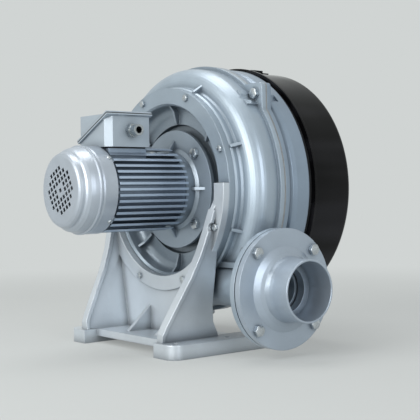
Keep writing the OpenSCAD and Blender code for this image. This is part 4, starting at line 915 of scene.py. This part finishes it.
class BLOWER_OT_joint_bolts(bpy.types.Operator):
    """Through bolts and nuts that clamp the two halves of the casing at their ears"""

    bl_idname = "blower.joint_bolts"
    bl_label = "Joint Bolts"

    def execute(self, context):
        fastened("joint_hex_bolts", "joint_bolts", X_AXIS, "bolt")
        fastened("joint_hex_nuts", "joint_nuts", X_AXIS, "nut")
        return {"FINISHED"}


class BLOWER_OT_outlet_bolts(bpy.types.Operator):
    """Bolts and nuts that clamp the outlet pipe's flange to the casing"""

    bl_idname = "blower.outlet_bolts"
    bl_label = "Outlet Bolts"

    def execute(self, context):
        fastened("outlet_hex_bolts", "outlet_bolts", Y_AXIS, "bolt")
        fastened("outlet_hex_nuts", "outlet_nuts", Y_AXIS, "nut")
        return {"FINISHED"}


class BLOWER_OT_cross_screws(bpy.types.Operator):
    """Cross-head screws of the fan cover, terminal box, end shield, inlet cone, guard and bracket"""

    bl_idname = "blower.cross_screws"
    bl_label = "Cross Screws"

    def execute(self, context):
        fastened("fan_cover_cross_screws", "fan_cover_screws", outward_from_shaft, "screw")
        fastened("terminal_cover_cross_screws", "terminal_cover_screws", own_length, "screw")
        fastened("shield_cross_screws", "shield_screws", X_AXIS, "screw")
        fastened("inlet_cone_cross_screws", "inlet_cone_screws", X_AXIS, "screw")
        fastened("guard_cross_screws", "guard_screws", X_AXIS, "screw")
        fastened("bracket_cross_screws", "bracket_screws", Z_AXIS, "screw")
        return {"FINISHED"}


def corner_slab(corner, near, far, half_width, bottom, top_drop):
    """Upright slab across the box corner, from near to far inwards of it, that ends top_drop
    under the sloping joint."""
    drop_selection()
    inward = (X_AXIS + Y_AXIS).normalized()
    top = JOINT_POINT.z + CLEAR
    middle = Vector((corner.x, corner.y, (bottom + top) / 2)) + inward * (near + far) / 2
    bpy.ops.mesh.primitive_cube_add(
        size=1, location=middle, rotation=(0, 0, math.pi / 4),
        scale=(far - near, 2 * half_width, top - bottom),
    )
    slab = settled()
    bpy.ops.object.mode_set(mode="EDIT")
    bpy.ops.mesh.select_all(action="SELECT")
    bpy.ops.mesh.bisect(
        plane_co=JOINT_POINT - JOINT_NORMAL * top_drop, plane_no=JOINT_NORMAL, use_fill=True, clear_outer=True
    )
    bpy.ops.object.mode_set(mode="OBJECT")
    return slab


def chamfered_box(sizes):
    """The terminal box with its near corner cut off and closed by a slanting wall."""
    source = frame["nodes"]["terminal_box_base"]
    drop_selection()
    box = source.copy()
    box.data = source.data.copy()
    bpy.context.scene.collection.objects.link(box)
    pick(box, lambda face: True)
    bpy.ops.mesh.customdata_custom_splitnormals_clear()
    bpy.ops.mesh.remove_doubles(threshold=WELD)
    bpy.ops.object.mode_set(mode="OBJECT")
    floor = min(v.co.z for v in box.data.vertices)
    feet = [v.co for v in box.data.vertices if v.co.z < floor + LEVEL_GAP]
    corner = Vector((min(p.x for p in feet), min(p.y for p in feet), floor))
    face = sizes.box_chamfer / math.sqrt(2)
    wall = corner_slab(
        corner, near=face - sizes.wall_spare, far=face + sizes.box_wall, half_width=face - sizes.wall_inset,
        bottom=floor + CLEAR, top_drop=sizes.wall_drop,
    )
    cut(box, wall, "UNION")
    wedge = corner_slab(
        corner, near=-3 * face, far=face, half_width=4 * face, bottom=floor - CLEAR, top_drop=JOINT_LIP
    )
    cut(box, wedge, "DIFFERENCE")
    return merge_into("terminal_box_chamfered", [box])


class BLOWER_OT_terminal_box(bpy.types.Operator):
    """Terminal box with the chamfer down its near corner"""

    bl_idname = "blower.terminal_box"
    bl_label = "Terminal Box"

    def execute(self, context):
        finished(chamfered_box(context.scene.blower_sizes), "terminal_box_base")
        return {"FINISHED"}


def drop_start_objects():
    """Removes the default cube, lamp and camera of a new file."""
    for name in ("Cube", "Light", "Camera"):
        if name in bpy.data.objects:
            bpy.data.objects.remove(bpy.data.objects[name])


def seamless_floor(name, floor, backdrop, near, far):
    """Matt photographic paper: pale, faintly mottled, and running out into the plain backdrop
    with distance, so that only the soft shadow of the stand breaks it."""
    material, tree, shader, place = blank(name)
    mottle = add(
        tree, "ShaderNodeTexNoise", {"Scale": per_m(300), "Detail": 2.0}, {"Vector": place}
    ).outputs["Fac"]
    tone = add(
        tree, "ShaderNodeValToRGB", {"stops": [(0.3, shaded(floor, 0.99)), (0.7, shaded(floor, 1.01))]},
        {"Fac": mottle},
    ).outputs["Color"]
    fill(tree, shader, {"Roughness": 0.9}, {"Base Color": tone})
    away = add(tree, "ShaderNodeVectorMath", {"operation": "LENGTH"}, {0: place}).outputs["Value"]
    fade = add(
        tree, "ShaderNodeMapRange",
        {"interpolation_type": "SMOOTHSTEP", "From Min": near, "From Max": far, "To Min": 0.4},
        {"Value": away},
    ).outputs["Result"]
    glow = add(tree, "ShaderNodeEmission", {"Color": backdrop, "Strength": 1.0}).outputs[0]
    seen = seen_directly(tree)
    share = add(tree, "ShaderNodeMath", {"operation": "MULTIPLY"}, {0: fade, 1: seen}).outputs[0]
    mixed = add(tree, "ShaderNodeMixShader", None, {0: share, 1: shader.outputs[0], 2: glow}).outputs[0]
    fill(tree, tree.nodes["Material Output"], None, {"Surface": mixed})
    return material


def seen_directly(tree):
    """One for rays from the camera, a glossy surface or a clear one, else zero."""
    path = add(tree, "ShaderNodeLightPath")
    either = add(
        tree, "ShaderNodeMath", {"operation": "MAXIMUM"},
        {0: path.outputs["Is Camera Ray"], 1: path.outputs["Is Glossy Ray"]},
    ).outputs[0]
    return add(
        tree, "ShaderNodeMath", {"operation": "MAXIMUM"},
        {0: either, 1: path.outputs["Is Transmission Ray"]},
    ).outputs[0]


def plain_world(backdrop, level):
    """World that shows the backdrop colour and lights the blower evenly at the given level."""
    world = bpy.context.scene.world or bpy.data.worlds.new("studio")
    bpy.context.scene.world = world
    world.use_nodes = True
    tree = world.node_tree
    tree.nodes.clear()
    shown = add(tree, "ShaderNodeBackground", {"Color": backdrop, "Strength": 1.0}).outputs[0]
    light = add(tree, "ShaderNodeBackground", {"Color": WHITE, "Strength": level}).outputs[0]
    seen = seen_directly(tree)
    mixed = add(tree, "ShaderNodeMixShader", None, {0: seen, 1: light, 2: shown}).outputs[0]
    add(tree, "ShaderNodeOutputWorld", None, {"Surface": mixed})


def softbox(name, place, aim, size, power, colour):
    """A soft rectangular lamp at a place, turned towards the aim."""
    data = bpy.data.lights.new(name, "AREA")
    data.shape = "RECTANGLE"
    data.size, data.size_y = size
    data.energy = power
    data.color = linear(colour)[:3]
    lamp = bpy.data.objects.new(name, data)
    bpy.context.scene.collection.objects.link(lamp)
    towards = Vector(aim) - Vector(place)
    lamp.matrix_world = Matrix.Translation(place) @ towards.to_track_quat("-Z", "Y").to_matrix().to_4x4()


def photo_camera(studio):
    """The camera at the photograph's place, turn, tilt and focal length."""
    data = bpy.data.cameras.new("photo_camera")
    data.sensor_width = SENSOR_MM
    data.sensor_fit = "HORIZONTAL"
    data.lens = studio.focal_px / IMAGE_SIDE * SENSOR_MM
    data.clip_end = VIEW_END
    camera = bpy.data.objects.new("photo_camera", data)
    bpy.context.scene.collection.objects.link(camera)
    sin_a, cos_a = math.sin(studio.azimuth), math.cos(studio.azimuth)
    sin_e, cos_e = math.sin(studio.elevation), math.cos(studio.elevation)
    back = Vector((sin_a * cos_e, -cos_a * cos_e, sin_e))
    right = Vector((cos_a, sin_a, 0))
    level = Matrix((right, back.cross(right), back)).transposed().to_4x4()
    roll = Matrix.Rotation(studio.roll, 4, "Z")
    camera.matrix_world = Matrix.Translation(studio.camera_at) @ level @ roll
    return camera


class BLOWER_OT_studio(bpy.types.Operator):
    """Floor, soft lamps and the camera at the photograph's angle"""

    bl_idname = "blower.studio"
    bl_label = "Studio"

    def execute(self, context):
        drop_start_objects()
        studio, colours = context.scene.blower_studio, context.scene.blower_colours
        paper, backdrop = list(colours.floor), list(colours.backdrop)
        drop_selection()
        bpy.ops.mesh.primitive_plane_add(size=studio.floor_size)
        floor = context.object
        floor.name = "studio_floor"
        dress(floor, seamless_floor("studio_matt_paper", paper, backdrop, studio.fade_start, studio.fade_end))
        plain_world(backdrop, studio.ambient)
        for name, (place, size, colour, power) in LAMPS.items():
            softbox(name, place, LAMP_AIM, size, getattr(studio, power), colour)
        context.scene.camera = photo_camera(studio)
        context.scene.view_settings.view_transform = "Standard"
        return {"FINISHED"}


class BLOWER_PT_panel(bpy.types.Panel):
    """Finishes, fasteners and studio of the blower"""

    bl_idname = "BLOWER_PT_panel"
    bl_label = "Industrial Blower"
    bl_space_type = "VIEW_3D"
    bl_region_type = "UI"
    bl_category = "Blower"

    def draw(self, context):
        for group in (context.scene.blower_sizes, context.scene.blower_colours, context.scene.blower_studio):
            box = self.layout.box()
            for prop in group.bl_rna.properties:
                if prop.identifier not in ("rna_type", "name"):
                    box.prop(group, prop.identifier)
        for operator in OPERATORS:
            self.layout.operator(operator.bl_idname)


OPERATORS = (
    BLOWER_OT_finishes,
    BLOWER_OT_casing_bolts,
    BLOWER_OT_joint_bolts,
    BLOWER_OT_outlet_bolts,
    BLOWER_OT_cross_screws,
    BLOWER_OT_terminal_box,
    BLOWER_OT_studio,
)
GROUPS = {"blower_sizes": BlowerSizes, "blower_colours": BlowerColours, "blower_studio": BlowerStudio}


def register():
    """Adds the classes and the panel's properties."""
    for cls in (*GROUPS.values(), *OPERATORS, BLOWER_PT_panel):
        bpy.utils.register_class(cls)
    for name, group in GROUPS.items():
        setattr(bpy.types.Scene, name, PointerProperty(type=group))


def unregister():
    """Takes the properties and the classes away again."""
    for name in GROUPS:
        delattr(bpy.types.Scene, name)
    for cls in reversed((*GROUPS.values(), *OPERATORS, BLOWER_PT_panel)):
        bpy.utils.unregister_class(cls)


def main():
    """Runs every operator."""
    register()
    for operator in OPERATORS:
        group, name = operator.bl_idname.split(".")
        getattr(getattr(bpy.ops, group), name)()


if __name__ == "__main__":
    main()
